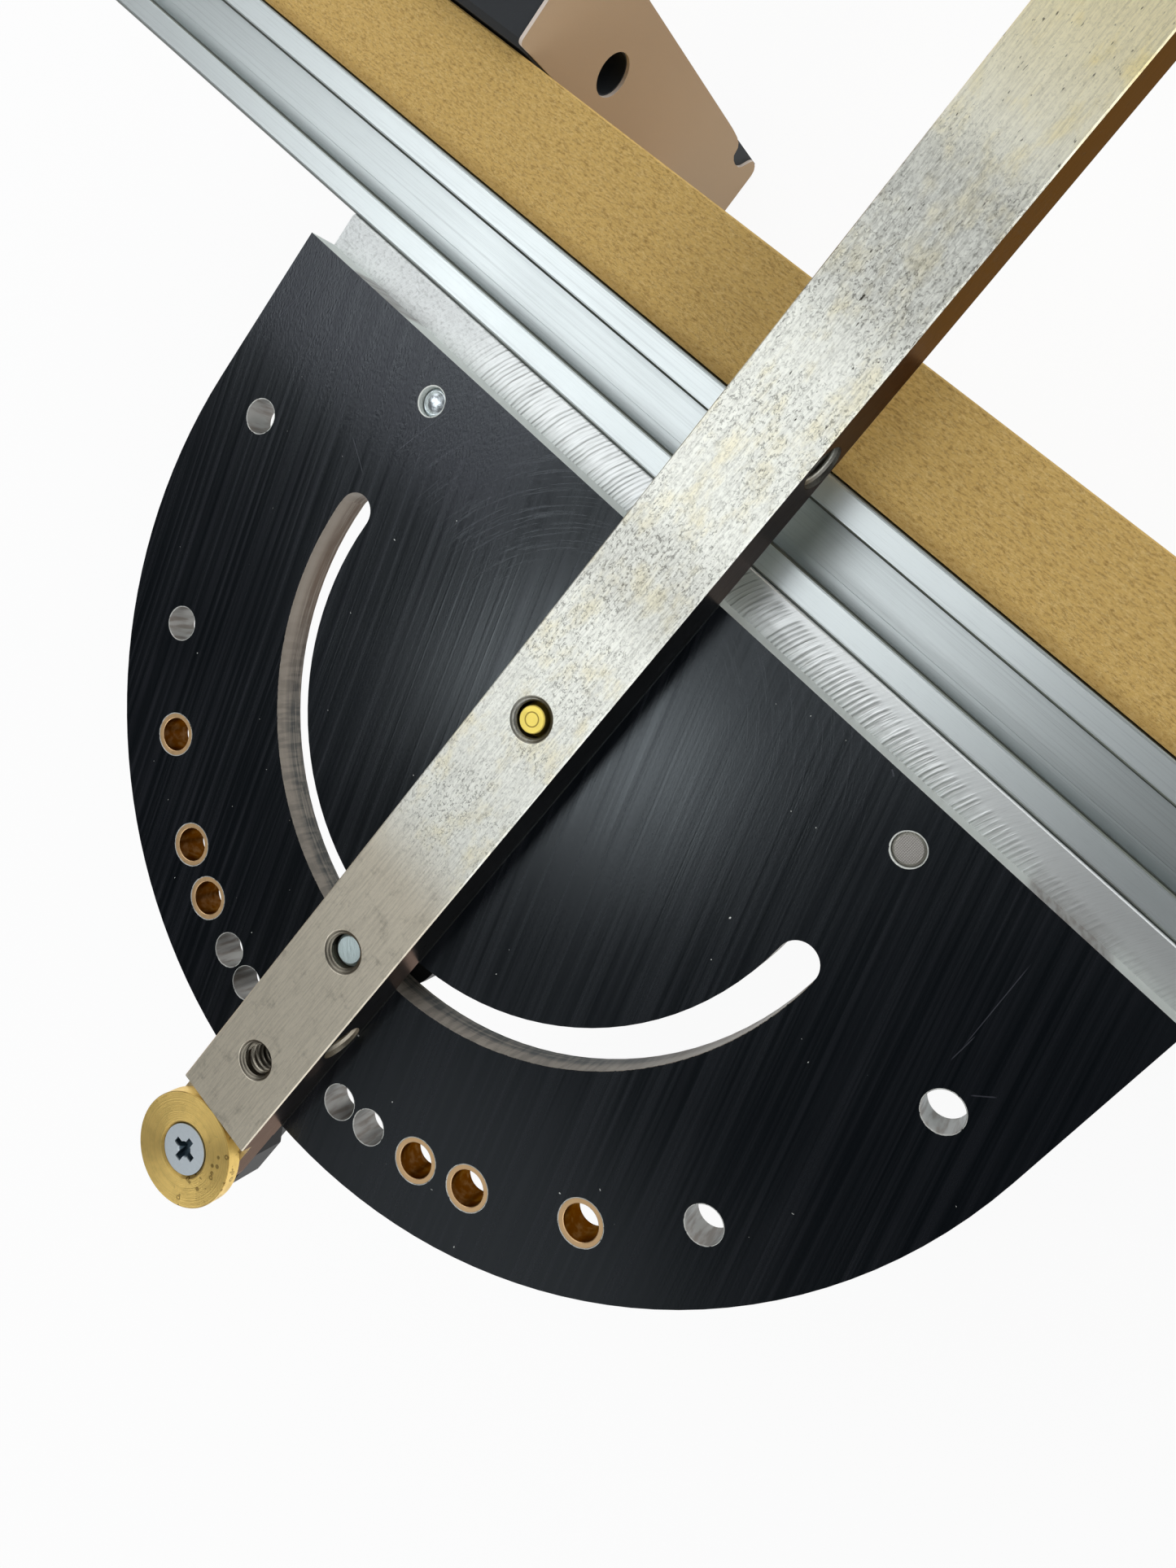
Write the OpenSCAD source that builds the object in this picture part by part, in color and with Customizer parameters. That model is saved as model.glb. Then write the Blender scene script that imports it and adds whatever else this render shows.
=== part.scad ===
// Angle jig for a slotted machine table: a guide bar that runs in the table slot, a head plate that swings
// about a pivot on the bar and is located by an index plunger, and a fence carried by the head plate.
// The jig lies on its back, with the bar side up. The origin is on the pivot axis, in the plane of the
// table top. X runs along the fence, Y along the bar towards the work, and Z away from the table.

/* [Guide bar] */
// Width of the bar, which fits a three-quarter inch table slot
bar_w = 19.05; // [18.8:0.05:19.3]
// Thickness of the bar
bar_t = 9.525; // [9:0.005:10]
// Length of the bar with its tongue
bar_l = 406; // [330:1:600]
// Distance from the pivot to the middle of the slot washer
tail_y = 115.2; // [115:0.1:122]
// Thickness of the thin tongue that carries the slot washer
tongue_t = 6.1; // [5:0.1:6.2]
// Diameter of the slot washer
slot_washer_d = 22.9; // [20:0.1:24]
// Thickness of the slot washer
slot_washer_t = 3.2; // [2.8:0.1:3.3]
// Distance from the pivot to the side plunger on the work side
plunger_front_y = 61.2; // [40:0.1:120]
// Distance from the pivot to the side plunger on the tongue side
plunger_rear_y = 74; // [71:0.1:77]
// How far a side plunger's nose stands out of the bar
nose_out = 1.5; // [1:0.1:2]

/* [Head plate] */
// Radius of the plate's round side
plate_r = 101.6; // [100:0.1:102]
// Thickness of the plate
plate_t = 7; // [6:0.5:7]
// Distance from the pivot to the plate's straight edge
plate_edge = 34; // [33:0.5:36]
// Radius of the clamp slot's centre line
slot_r = 57.75; // [54:0.05:60]
// Width of the clamp slot
slot_w = 7.36; // [7:0.02:8]
// Radius of the circle of index holes
index_r = 88.1; // [87:0.1:89]
// Diameter of an index hole
index_d = 6.8; // [6.76:0.02:6.9]
// Outside diameter of the bushes in the most used index holes
bush_d = 8.6; // [8.2:0.1:9.2]
// Outside diameter of the bush that the head turns on
pivot_bush_d = 16; // [15:0.5:18]

/* [Fence] */
// Length of the fence
fence_l = 457; // [400:1:600]
// Width of the fence rail
rail_w = 20; // [20:0.5:24]
// Height of the fence rail
rail_h = 98.5; // [96:0.5:110]
// Thickness of the face board
board_t = 21.6; // [16:0.2:25]
// Height of the face board
board_h = 66; // [60:1:66]

/* [Clamp handle] */
// Diameter of the handle where it is widest
handle_d = 26; // [24:0.5:30]
// Diameter of the handle's base and of the washer under it
handle_base_d = 21.2; // [20:0.2:24]
// Lead of the clamp thread
clamp_lead = 1.27; // [1:0.01:1.5]

/* [Index plunger] */
// Diameter of the plunger's pin
pin_d = 6.7; // [6.6:0.02:6.72]
// Diameter of the plunger's pull knob
knob_d = 18; // [14:0.5:20]

/* [Stop] */
// Place of the stop plate along the fence
stop_x = -88; // [-120:1:-40]
// Width of the stop body
stop_w = 38; // [32:1:50]
// Reach of the stop in front of the face board
stop_reach = 22; // [18:0.5:30]
// Thickness of the stop plate
stop_plate_t = 0.8; // [0.6:0.1:2]

/* [Hidden] */
$fn = 64;
eps = 0.01;

// Colours
steel_colour = "#b9b6ad";
zinc_colour = "#c4c6c2";
brass_colour = "#c9ac62";
bronze_colour = "#b5784a";
black_colour = "#22252a";
aluminium_colour = "#d3d8d6";
board_colour = "#aa8e56";
tan_colour = "#a88c76";

// Guide bar: the bar lies on the plate's table side with a thin running gap
run_gap = 0.1;
bar_z = run_gap;
bar_top = bar_z + bar_t;
bar_mid = bar_z + bar_t / 2;
bar_edge = 0.25;
step_gap = 0.1;
step_y = -(tail_y - slot_washer_d / 2 - step_gap);
tongue_top = bar_z + tongue_t;
tongue_r = bar_w / 2 - 0.2;
bar_end = bar_l - tail_y - tongue_r;
thread_r = 3.175;
stud_r = 3.1;
mouth_r = [4.2, 4.2, 4];
mouth_depth = 0.9;
pivot_tip_recess = 0.3;
pivot_tip_r = 2.45;
pivot_tip_l = 2;
clamp_tip_recess = 2;
side_hole_r = 4;

// Socket head screws and T-nuts of the fence
cap_head_r = 4.9;
cap_head_h = 6;
t_nut_l = 16;

// Side plungers, in distances along -X from the bar's middle
sleeve_out = bar_w / 2 - 0.2;
sleeve_in = -3;
side_chamber = [sleeve_out - 0.8, -0.5];
nose_r = 2.9;
nose_collar = [8.2, 6.8];
nose_collar_w = 0.4;
nose_fit = 0.05;
side_spring_r = 2.4;
side_wire = 0.35;
side_turns = 5;

// Slot washer and its screw
washer_top = tongue_top + 0.05 + slot_washer_t;
washer_edge = 0.15;
screw_head_r = 5.07;
screw_head_h = 2.6;
screw_head_gap = 0.7;
screw_head_sink = 0.2;
screw_shank_r = 2.45;
screw_hole_r = 2.5;

// Index arm: a foot under the tongue and an arm over the plate's far side
foot_w = 18.4;
foot_y = [-tail_y - 11.4, -tail_y + 8.7];
foot_cut = [3, 4.7];
foot_low_cut = [1.8, 6.5];
arm_gap = 1;
arm_top = -plate_t - arm_gap;
arm_h = 9;
arm_bottom = arm_top - arm_h;
arm_w = 12;
boss_r = 9;
dowel_r = 2;
dowel_x = 4.8;
dowel_y = -tail_y + 4.6;

// Index plunger: parked position, with the pin clear of the plate
plunger_stroke = 6;
sleeve_r = 5;
sleeve_top = arm_top - 0.5;
sleeve_end = arm_bottom - 6;
chamber_r = 4.2;
chamber_z = [sleeve_end + 1.5, sleeve_top - 2.5];
pin_tip = -plate_t - 0.75;
pin_fit = 0.05;
collar_z = chamber_z[1] - plunger_stroke - 0.3;
collar_h = 1.2;
collar_fit = 0.1;
stem_r = 2.5;
knob_face = sleeve_end - 1;
knob_bore_r = sleeve_r + 0.6;
knob_floor = sleeve_end - plunger_stroke - 0.6;
knob_end = knob_floor - 3;
knob_skin = 1;
spring_r = 3.4;
spring_wire = 0.3;
spring_turns = 3;

// Pivot
shoulder_r = 6;
pivot_fit = 0.05;
pivot_washer_t = 0.9;
pivot_seat = -plate_t - 0.05;
pivot_head_z = pivot_seat - pivot_washer_t - 0.05;
pivot_head_r = 11;
pivot_head_h = 3.5;

// Fence, in depth along Y and height along Z
rail_y = [plate_edge + 7.3, plate_edge + 7.3 + rail_w];
rail_z = [-plate_t - rail_h, -plate_t];
rail_round = 0.7;
board_y = [rail_y[1] + 0.2, rail_y[1] + 0.2 + board_t];
board_z = [-plate_t - board_h, -plate_t];
rear_slot_z = rail_z[1] - 30;
board_slot_z = rail_z[1] - 38;
stop_slot_z = rail_z[0] + 21;
end_slot = [9.3, 2.2, 13.4, 9];
side_slot = [8, 1.8, 12.5, 6.5];
slot_groove = [6.2, 0.5];
slot_corner = 1.2;
rail_wall = 3;
lower_cavity_z = [rail_z[1] - 20, rail_z[1] - 13];
upper_cavity_z = [board_slot_z - 26, board_slot_z - 11];
bolt_grip = side_slot[3] - 0.9;

// Bracket between the plate and the rail
bracket_y = [plate_edge - 15, rail_y[0]];
bracket_leg = 9.5;
bracket_foot = 10;
bracket_h = 50;
pin_hole = [slot_r, 25.86];
bracket_screw_r = 2.75;
bracket_hole_r = bracket_screw_r + 0.05;
screw_end_gap = [1.1, 0.5];
fence_bolt_x = [-75, -25, 25, 75];
fence_bolt_r = 2.95;
board_screw_x = [-180, -60, 60, 180];

// Clamp, slackened by one turn so that the head is free to swing
clamp_washer_t = 2;
clamp_washer_r = handle_base_d / 2;
clamp_face = -plate_t - run_gap - clamp_lead;
insert_flange_z = clamp_face - clamp_washer_t - 0.05;
insert_flange_h = 2;
insert_flange_r = 8;
insert_r = 6;
insert_depth = 36;
handle_top = insert_flange_z;
handle_end = rail_z[0];
handle_h = handle_top - handle_end;
handle_neck = 0.24;
handle_neck_r = 8.6;
handle_bulge = 0.6;
handle_end_r = 8.5;
stud_reach = insert_flange_z - 42;
handle_bore_z = stud_reach - 10;

// Stop
stop_body_x = [stop_x - stop_plate_t - stop_w, stop_x - stop_plate_t];
stop_y = [board_y[1] + 0.5, board_y[1] + 0.5 + stop_reach];
stop_foot_z = stop_slot_z + 6.5;
stop_low = -4.2;
stop_plate_y = [stop_y[0] + 0.45, stop_y[1] + 1.9];
stop_plate_low = -3.75;
stop_corner = 1;
stop_hole = [stop_y[0] + 9.3, -32.2];
stop_hole_r = 4.55;
stop_hole_depth = 16;
stop_bolt_x = [stop_body_x[0] + 9, stop_body_x[1] - 9];
stop_bolt_seat = rail_y[1] + 12;

// Outline of the stop plate's front edge and hooked end, in distances from the body's front face and end
stop_front = [[0.4, 25.5], [0.3, 21.9], [0, 18], [-0.5, 15.8], [-1.3, 14.6]];
stop_hook = [[-3.2, 13.9], [-3.9, 12.5], [-4.2, 10.9], [-4, 8.7], [-3.2, 7.2], [-2.2, 6.3], [-1.1, 5.4],
    [-0.2, 4.2], [-0.3, 3.1], [-0.6, 1.9], [-1.5, 0.8], [-2.7, 0.4]];

index_plain = [0, 10, 15, 60, 90];
index_bushed = [22.5, 30, 45];
hole_rim = 0.08;

// Places of the index holes for a list of angles, on both sides of the bar
function index_places(angles) = [for (a = angles, s = a == 0 ? [1] : [-1, 1])
    [s * index_r * sin(a), -index_r * cos(a)]];

// Points of an arc about a centre
function arc(centre, r, from, to, steps = 6) =
    [for (i = [0:steps]) let (a = from + (to - from) * i / steps) centre + r * [cos(a), sin(a)]];

// Outline of a rectangle between two corners with cut corners
function cut_rect(x, y, c) = [[x[0] + c, y[0]], [x[1] - c, y[0]], [x[1], y[0] + c], [x[1], y[1] - c],
    [x[1] - c, y[1]], [x[0] + c, y[1]], [x[0], y[1] - c], [x[0], y[0] + c]];

// A cylinder that stands between two heights
module post(at, r, z) {
    translate([at[0], at[1], min(z)])
        cylinder(r = r, h = max(z) - min(z));
}

// A cone that opens upwards to radius r at height z
module countersink(at, r, z, depth) {
    translate([at[0], at[1], z - depth])
        cylinder(r1 = r - depth, r2 = r + eps, h = depth + eps);
}

// A profile drawn in Y and Z, swept along X
module along_x(x) {
    translate([x[0], 0, 0])
        rotate([90, 0, 90])
            linear_extrude(x[1] - x[0])
                children();
}

// A profile drawn in X and Z, swept along Y
module along_y(y) {
    translate([0, y[1], 0])
        rotate([90, 0, 0])
            linear_extrude(y[1] - y[0])
                children();
}

// A turned solid from a list of radius and height points
module turned(points) {
    rotate_extrude()
        polygon(points);
}

// A block between two corners
module block(x, y, z) {
    translate([x[0], y[0], z[0]])
        cube([x[1] - x[0], y[1] - y[0], z[1] - z[0]]);
}

// A hexagonal prism across flats, standing between two heights
module hex(af, z) {
    translate([0, 0, min(z)])
        cylinder(d = af / cos(30), h = max(z) - min(z), $fn = 6);
}

// A socket head screw standing on its head's bearing face, with its shank along +Z
module socket_screw(r, shank, head_r, head_h) {
    tip = min(0.5, r / 4);
    difference() {
        turned([[0, -head_h], [head_r - 0.4, -head_h], [head_r, -head_h + 0.4], [head_r, 0], [r, 0],
            [r, shank - tip], [r - tip, shank], [0, shank]]);
        hex(head_r, [-head_h - eps, -head_h / 2]);
    }
}

// A countersunk cross head screw with its head's top at zero and its shank along -Z
module countersunk_screw(r, head_r, head_h, length) {
    recess_w = head_r * 0.28;
    recess_l = head_r * 1.06;
    recess_h = head_h * 0.75;
    difference() {
        turned([[0, 0], [head_r, 0], [head_r, -0.35], [r, -head_h], [r, -length + 0.5],
            [r - 0.5, -length], [0, -length]]);
        for (turn = [0, 90])
            rotate(turn)
                block([-recess_l / 2, recess_l / 2], [-recess_w / 2, recess_w / 2], [-recess_h, eps]);
        translate([0, 0, -recess_h])
            cylinder(r1 = recess_w * 0.6, r2 = recess_w * 1.15, h = recess_h + eps);
    }
}

// A wound spring along Z as one tube, with its free length between two heights
module coil(r, wire, z, turns) {
    sides = 6;
    steps = turns * 12;
    rise = (z[1] - z[0] - 2 * wire) / steps;
    points = [for (i = [0:steps], k = [0:sides - 1])
        let (turn = 30 * i, around = 60 * k, out = r + wire * cos(around))
        [out * cos(turn), out * sin(turn), z[0] + wire + rise * i + wire * sin(around)]];
    walls = [for (i = [0:steps - 1], k = [0:sides - 1])
        let (a = i * sides + k, b = i * sides + (k + 1) % sides)
        [a, a + sides, b + sides, b]];
    first = [for (k = [0:sides - 1]) k];
    last = [for (k = [sides - 1:-1:0]) steps * sides + k];
    polyhedron(points, concat(walls, [first, last]));
}

// Outline of a T-slot whose mouth is at zero and whose floor is below
module t_slot(size) {
    mouth = size[0] / 2;
    inner = size[2] / 2;
    lip = size[1];
    floor_y = -size[3];
    polygon(concat(
        [[-mouth - rail_round, eps]],
        arc([-mouth - rail_round, -rail_round], rail_round, 90, 0, 4),
        [[-mouth, -lip], [-inner, -lip], [-inner, floor_y + slot_corner], [-inner + slot_corner, floor_y],
            [-slot_groove[0] / 2, floor_y], [-slot_groove[0] / 2, floor_y - slot_groove[1]],
            [slot_groove[0] / 2, floor_y - slot_groove[1]], [slot_groove[0] / 2, floor_y],
            [inner - slot_corner, floor_y], [inner, floor_y + slot_corner], [inner, -lip], [mouth, -lip]],
        arc([mouth + rail_round, -rail_round], rail_round, 180, 90, 4),
        [[mouth + rail_round, eps]]));
}

// A T-nut for a side slot, with its mouth face at zero, its neck towards +Z and its body below
module t_nut(length, bolt_r) {
    slack = 0.5;
    body = [side_slot[2] / 2 - slack, side_slot[3] - slot_corner - 0.1];
    neck = side_slot[0] / 2 - slack / 2;
    lip = side_slot[1] + 0.2;
    difference() {
        union() {
            block([-length / 2, length / 2], [-body[0], body[0]], [-body[1], -lip]);
            block([-length / 2, length / 2], [-neck, neck], [-lip - eps, -0.3]);
        }
        translate([0, 0, -side_slot[3]])
            cylinder(r = bolt_r + 0.05, h = side_slot[3] + 1);
    }
}

// Places a part that is drawn along +Z so that it points along +Y or -Y
module facing_work(at) {
    translate(at)
        rotate([-90, 0, 0])
            children();
}

module facing_back(at) {
    translate(at)
        rotate([90, 0, 0])
            children();
}

// Rests a part that is drawn along +Z so that it points along -X
module facing_left(at) {
    translate(at)
        rotate([0, -90, 0])
            children();
}

module guide_bar() {
    half = bar_w / 2;
    color(steel_colour)
        difference() {
            union() {
                along_y([step_y, bar_end])
                    polygon(cut_rect([-half, half], [bar_z, bar_top], bar_edge));
                block([-tongue_r, tongue_r], [-tail_y, step_y + 1], [bar_z, tongue_top]);
                post([0, -tail_y], tongue_r, [bar_z, tongue_top]);
            }
            for (hole = [[0, mouth_r[0]], [-slot_r, mouth_r[1]], [-index_r, mouth_r[2]]]) {
                post([0, hole[0]], thread_r, [bar_z - 1, bar_top + 1]);
                translate([0, hole[0], bar_top - mouth_depth])
                    cylinder(r1 = thread_r, r2 = hole[1] + eps, h = mouth_depth + eps);
            }
            for (y = [plunger_front_y, -plunger_rear_y])
                facing_left([half + 1, y, bar_mid])
                    cylinder(r = side_hole_r, h = bar_w + 2);
            post([0, -tail_y], screw_hole_r, [bar_z - 1, tongue_top + 1]);
            for (x = [-dowel_x, dowel_x])
                post([x, dowel_y], dowel_r, [bar_z - 1, tongue_top + 1]);
        }
}

module slot_washer() {
    r = slot_washer_d / 2;
    low = tongue_top + 0.05;
    color(brass_colour)
        translate([0, -tail_y, 0])
            turned([[screw_hole_r, low], [r - washer_edge, low], [r, low + washer_edge],
                [r, washer_top - washer_edge], [r - washer_edge, washer_top],
                [screw_head_r + screw_head_gap, washer_top],
                [screw_hole_r + 0.1, washer_top - screw_head_h - screw_head_sink - 0.05]]);
}

module washer_screw() {
    color(zinc_colour)
        translate([0, -tail_y, washer_top - screw_head_sink])
            countersunk_screw(screw_shank_r, screw_head_r, screw_head_h, washer_top - arm_bottom - 2);
}

module index_arm() {
    half = foot_w / 2;
    foot = [[half - foot_low_cut[0], foot_y[0]], [half, foot_y[0] + foot_low_cut[1]],
        [half, foot_y[1] - foot_cut[1]], [half - foot_cut[0], foot_y[1]]];
    color(black_colour)
        difference() {
            union() {
                translate([0, 0, arm_top])
                    linear_extrude(bar_z - arm_top)
                        polygon(concat(foot, [for (i = [3:-1:0]) [-foot[i][0], foot[i][1]]]));
                block([-arm_w / 2, arm_w / 2], [foot_y[0], -index_r], [arm_bottom, arm_top + eps]);
                post([0, -index_r], boss_r, [arm_bottom, arm_top]);
            }
            post([0, -index_r], sleeve_r, [arm_bottom - 1, arm_top + 1]);
            post([0, -tail_y], screw_hole_r, [arm_bottom - 1, bar_z + 1]);
            for (x = [-dowel_x, dowel_x])
                post([x, dowel_y], dowel_r, [arm_top + 1, bar_z + 1]);
        }
}

module arm_dowels() {
    color(steel_colour)
        for (x = [-dowel_x, dowel_x])
            post([x, dowel_y], dowel_r, [arm_top + 1.2, tongue_top]);
}

module plunger_sleeve() {
    color(zinc_colour)
        translate([0, -index_r, 0])
            difference() {
                post([0, 0], sleeve_r, [sleeve_end, sleeve_top]);
                post([0, 0], pin_d / 2 + pin_fit, [chamber_z[1] - eps, sleeve_top + 1]);
                post([0, 0], chamber_r, chamber_z);
                post([0, 0], stem_r + pin_fit, [sleeve_end - 1, chamber_z[0] + eps]);
            }
}

module index_plunger() {
    r = pin_d / 2;
    tip = 0.8;
    collar_r = chamber_r - collar_fit;
    end = knob_end + knob_skin;
    color(steel_colour)
        translate([0, -index_r, 0])
            turned([[0, pin_tip], [r - tip, pin_tip], [r, pin_tip - tip], [r, collar_z],
                [collar_r, collar_z], [collar_r, collar_z - collar_h],
                [stem_r, collar_z - collar_h], [stem_r, end], [0, end]]);
}

module plunger_spring() {
    color(steel_colour)
        translate([0, -index_r, 0])
            coil(spring_r, spring_wire, [chamber_z[0], collar_z - collar_h], spring_turns);
}

module plunger_knob() {
    r = knob_d / 2;
    round_r = 1.5;
    lip = 0.6;
    color(black_colour)
        translate([0, -index_r, 0])
            turned(concat(
                [[stem_r, knob_floor], [knob_bore_r, knob_floor], [knob_bore_r, knob_face],
                    [r - lip, knob_face], [r, knob_face - lip]],
                arc([r - round_r, knob_end + round_r], round_r, 0, -90),
                [[0, knob_end], [0, knob_end + knob_skin], [stem_r, knob_end + knob_skin]]));
}

module pivot_stud() {
    end = bar_top - pivot_tip_recess;
    chamfer = 0.15;
    step = end - pivot_tip_l;
    color(brass_colour)
        difference() {
            turned([[0, end], [pivot_tip_r - chamfer, end], [pivot_tip_r, end - chamfer], [pivot_tip_r, step],
                [stud_r, step - stud_r + pivot_tip_r], [stud_r, bar_z],
                [shoulder_r, bar_z - eps], [shoulder_r, pivot_head_z], [pivot_head_r, pivot_head_z],
                [pivot_head_r, pivot_head_z - pivot_head_h + 0.6],
                [pivot_head_r - 0.6, pivot_head_z - pivot_head_h], [0, pivot_head_z - pivot_head_h]]);
            hex(6, [pivot_head_z - pivot_head_h - eps, pivot_head_z]);
        }
}

module pivot_washer() {
    color(steel_colour)
        difference() {
            post([0, 0], pivot_head_r, [pivot_seat - pivot_washer_t, pivot_seat]);
            post([0, 0], shoulder_r + 0.1, [pivot_seat - pivot_washer_t - 1, pivot_seat + 1]);
        }
}

module clamp_stud() {
    end = bar_top - clamp_tip_recess;
    chamfer = 0.6;
    color(zinc_colour)
        translate([0, -slot_r, 0])
            turned([[0, end], [stud_r - chamfer, end], [stud_r, end - chamfer],
                [stud_r, stud_reach + chamfer], [stud_r - chamfer, stud_reach], [0, stud_reach]]);
}

module side_sleeves() {
    color(zinc_colour)
        for (y = [plunger_front_y, -plunger_rear_y])
            facing_left([0, y, bar_mid])
                difference() {
                    post([0, 0], side_hole_r - 0.05, [sleeve_in, sleeve_out]);
                    post([0, 0], nose_r + nose_collar_w + nose_fit, side_chamber);
                    post([0, 0], nose_r + nose_fit, [side_chamber[0] - eps, sleeve_out + 1]);
                    hex(4, [sleeve_in - 1, sleeve_in + 1.6]);
                }
}

module side_nose(y) {
    tip = bar_w / 2 + nose_out;
    collar_r = nose_r + nose_collar_w;
    dome = 1.9;
    ball_r = (nose_r * nose_r + dome * dome) / (2 * dome);
    spread = asin(nose_r / ball_r);
    color(steel_colour)
        facing_left([0, y, bar_mid])
            turned(concat(
                [[0, nose_collar[1]], [collar_r, nose_collar[1]], [collar_r, nose_collar[0]],
                    [nose_r, nose_collar[0]]],
                arc([0, tip - ball_r], ball_r, 90 - spread, 90, 8)));
}

module side_nose_front() {
    side_nose(plunger_front_y);
}

module side_nose_rear() {
    side_nose(-plunger_rear_y);
}

module side_spring(y) {
    color(steel_colour)
        facing_left([0, y, bar_mid])
            coil(side_spring_r, side_wire, [side_chamber[1], nose_collar[1]], side_turns);
}

module side_spring_front() {
    side_spring(plunger_front_y);
}

module side_spring_rear() {
    side_spring(-plunger_rear_y);
}

module head_plate() {
    deep = [-plate_t - 1, 1];
    slot_h = plate_t + 2;
    color(black_colour)
        difference() {
            union() {
                intersection() {
                    post([0, 0], plate_r, [-plate_t, 0]);
                    block([-plate_r - 1, plate_r + 1], [-plate_r - 1, 0], [-plate_t - 1, 1]);
                }
                block([-plate_r, plate_r], [0, plate_edge], [-plate_t, 0]);
            }
            translate([0, 0, -plate_t - 1])
                rotate(180)
                    rotate_extrude(angle = 180)
                        translate([slot_r - slot_w / 2, 0])
                            square([slot_w, slot_h]);
            for (s = [-1, 1]) {
                post([s * slot_r, 0], slot_w / 2, deep);
                post([s * pin_hole[0], pin_hole[1]], bracket_hole_r, deep);
                countersink([s * pin_hole[0], pin_hole[1]], bracket_hole_r + hole_rim, 0, hole_rim);
            }
            for (at = index_places(index_plain)) {
                post(at, index_d / 2, deep);
                countersink(at, index_d / 2 + hole_rim, 0, hole_rim);
            }
            for (at = index_places(index_bushed)) {
                post(at, bush_d / 2, deep);
                countersink(at, bush_d / 2 + hole_rim, 0, hole_rim);
            }
            post([0, 0], pivot_bush_d / 2, deep);
        }
}

module index_bushes() {
    rim = 0.12;
    face = -0.06;
    color(bronze_colour)
        for (at = index_places(index_bushed))
            difference() {
                post(at, bush_d / 2, [-plate_t, face]);
                post(at, index_d / 2, [-plate_t - 1, 1]);
                countersink(at, index_d / 2 + rim, face, rim);
            }
}

module pivot_bush() {
    color(bronze_colour)
        difference() {
            post([0, 0], pivot_bush_d / 2, [-plate_t, 0]);
            post([0, 0], shoulder_r + pivot_fit, [-plate_t - 1, 1]);
        }
}

module fence_bracket() {
    low = -plate_t;
    edge = 0.4;
    web = bracket_y[1] - bracket_leg;
    color(aluminium_colour)
        difference() {
            along_x([-plate_r, plate_r])
                polygon([[bracket_y[0], low], [bracket_y[1] - edge, low], [bracket_y[1], low - edge],
                    [bracket_y[1], low - bracket_h + 1], [bracket_y[1] - 1, low - bracket_h],
                    [web + 1, low - bracket_h], [web, low - bracket_h + 1], [web, low - bracket_foot - 3],
                    [web - 3, low - bracket_foot], [bracket_y[0] + 1, low - bracket_foot],
                    [bracket_y[0], low - bracket_foot + 1]]);
            for (s = [-1, 1]) {
                post([s * pin_hole[0], pin_hole[1]], bracket_hole_r, [low - bracket_h, low + 1]);
                post([s * pin_hole[0], pin_hole[1]], cap_head_r + 0.4, [low - bracket_h, low - bracket_foot]);
            }
            for (x = fence_bolt_x)
                facing_back([x, bracket_y[1] + 1, rear_slot_z])
                    cylinder(r = fence_bolt_r + 0.25, h = bracket_leg + 2);
        }
}

module bracket_screws() {
    seat = -plate_t - bracket_foot;
    color(zinc_colour)
        for (i = [0, 1])
            translate([(2 * i - 1) * pin_hole[0], pin_hole[1], seat])
                socket_screw(bracket_screw_r, -seat - screw_end_gap[i], cap_head_r, cap_head_h);
}

module fence_rail() {
    mid_y = (rail_y[0] + rail_y[1]) / 2;
    color(aluminium_colour)
        along_x([-fence_l / 2, fence_l / 2])
            difference() {
                polygon(concat(
                    arc([rail_y[0] + rail_round, rail_z[1] - rail_round], rail_round, 180, 90, 4),
                    arc([rail_y[1] - rail_round, rail_z[1] - rail_round], rail_round, 90, 0, 4),
                    arc([rail_y[1] - rail_round, rail_z[0] + rail_round], rail_round, 0, -90, 4),
                    arc([rail_y[0] + rail_round, rail_z[0] + rail_round], rail_round, -90, -180, 4)));
                translate([mid_y, rail_z[1]])
                    t_slot(end_slot);
                translate([mid_y, rail_z[0]])
                    rotate(180)
                        t_slot(end_slot);
                translate([rail_y[0], rear_slot_z])
                    rotate(90)
                        t_slot(side_slot);
                for (z = [board_slot_z, stop_slot_z])
                    translate([rail_y[1], z])
                        rotate(-90)
                            t_slot(side_slot);
                for (z = [lower_cavity_z, upper_cavity_z])
                    translate([rail_y[0] + rail_wall, z[0]])
                        square([rail_w - 2 * rail_wall, z[1] - z[0]]);
            }
}

module fence_bolts() {
    seat = bracket_y[1] - bracket_leg;
    color(zinc_colour)
        for (x = fence_bolt_x)
            facing_work([x, seat, rear_slot_z])
                socket_screw(fence_bolt_r, bracket_leg + bolt_grip, cap_head_r, cap_head_h);
}

module fence_t_nuts() {
    color(steel_colour)
        for (x = fence_bolt_x)
            facing_back([x, rail_y[0], rear_slot_z])
                t_nut(t_nut_l, fence_bolt_r);
}

module face_board() {
    edge = 0.3;
    color(board_colour)
        difference() {
            along_x([-fence_l / 2, fence_l / 2])
                polygon(cut_rect(board_y, board_z, edge));
            for (x = board_screw_x)
                facing_back([x, board_y[1] + eps, board_slot_z]) {
                    cylinder(r = screw_hole_r + 0.2, h = board_t + 1);
                    cylinder(r1 = screw_head_r + 0.9, r2 = screw_hole_r + 0.2, h = screw_head_h + 0.5);
                }
        }
}

module board_screws() {
    color(zinc_colour)
        for (x = board_screw_x)
            facing_work([x, board_y[1] - 0.3, board_slot_z])
                countersunk_screw(screw_shank_r, screw_head_r, screw_head_h, board_t + bolt_grip);
}

module board_t_nuts() {
    color(steel_colour)
        for (x = board_screw_x)
            facing_work([x, rail_y[1], board_slot_z])
                t_nut(t_nut_l, screw_shank_r);
}

module clamp_washer() {
    color(black_colour)
        translate([0, -slot_r, 0])
            difference() {
                post([0, 0], clamp_washer_r, [clamp_face - clamp_washer_t, clamp_face]);
                post([0, 0], stud_r + 0.3, [clamp_face - clamp_washer_t - 1, clamp_face + 1]);
            }
}

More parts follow.
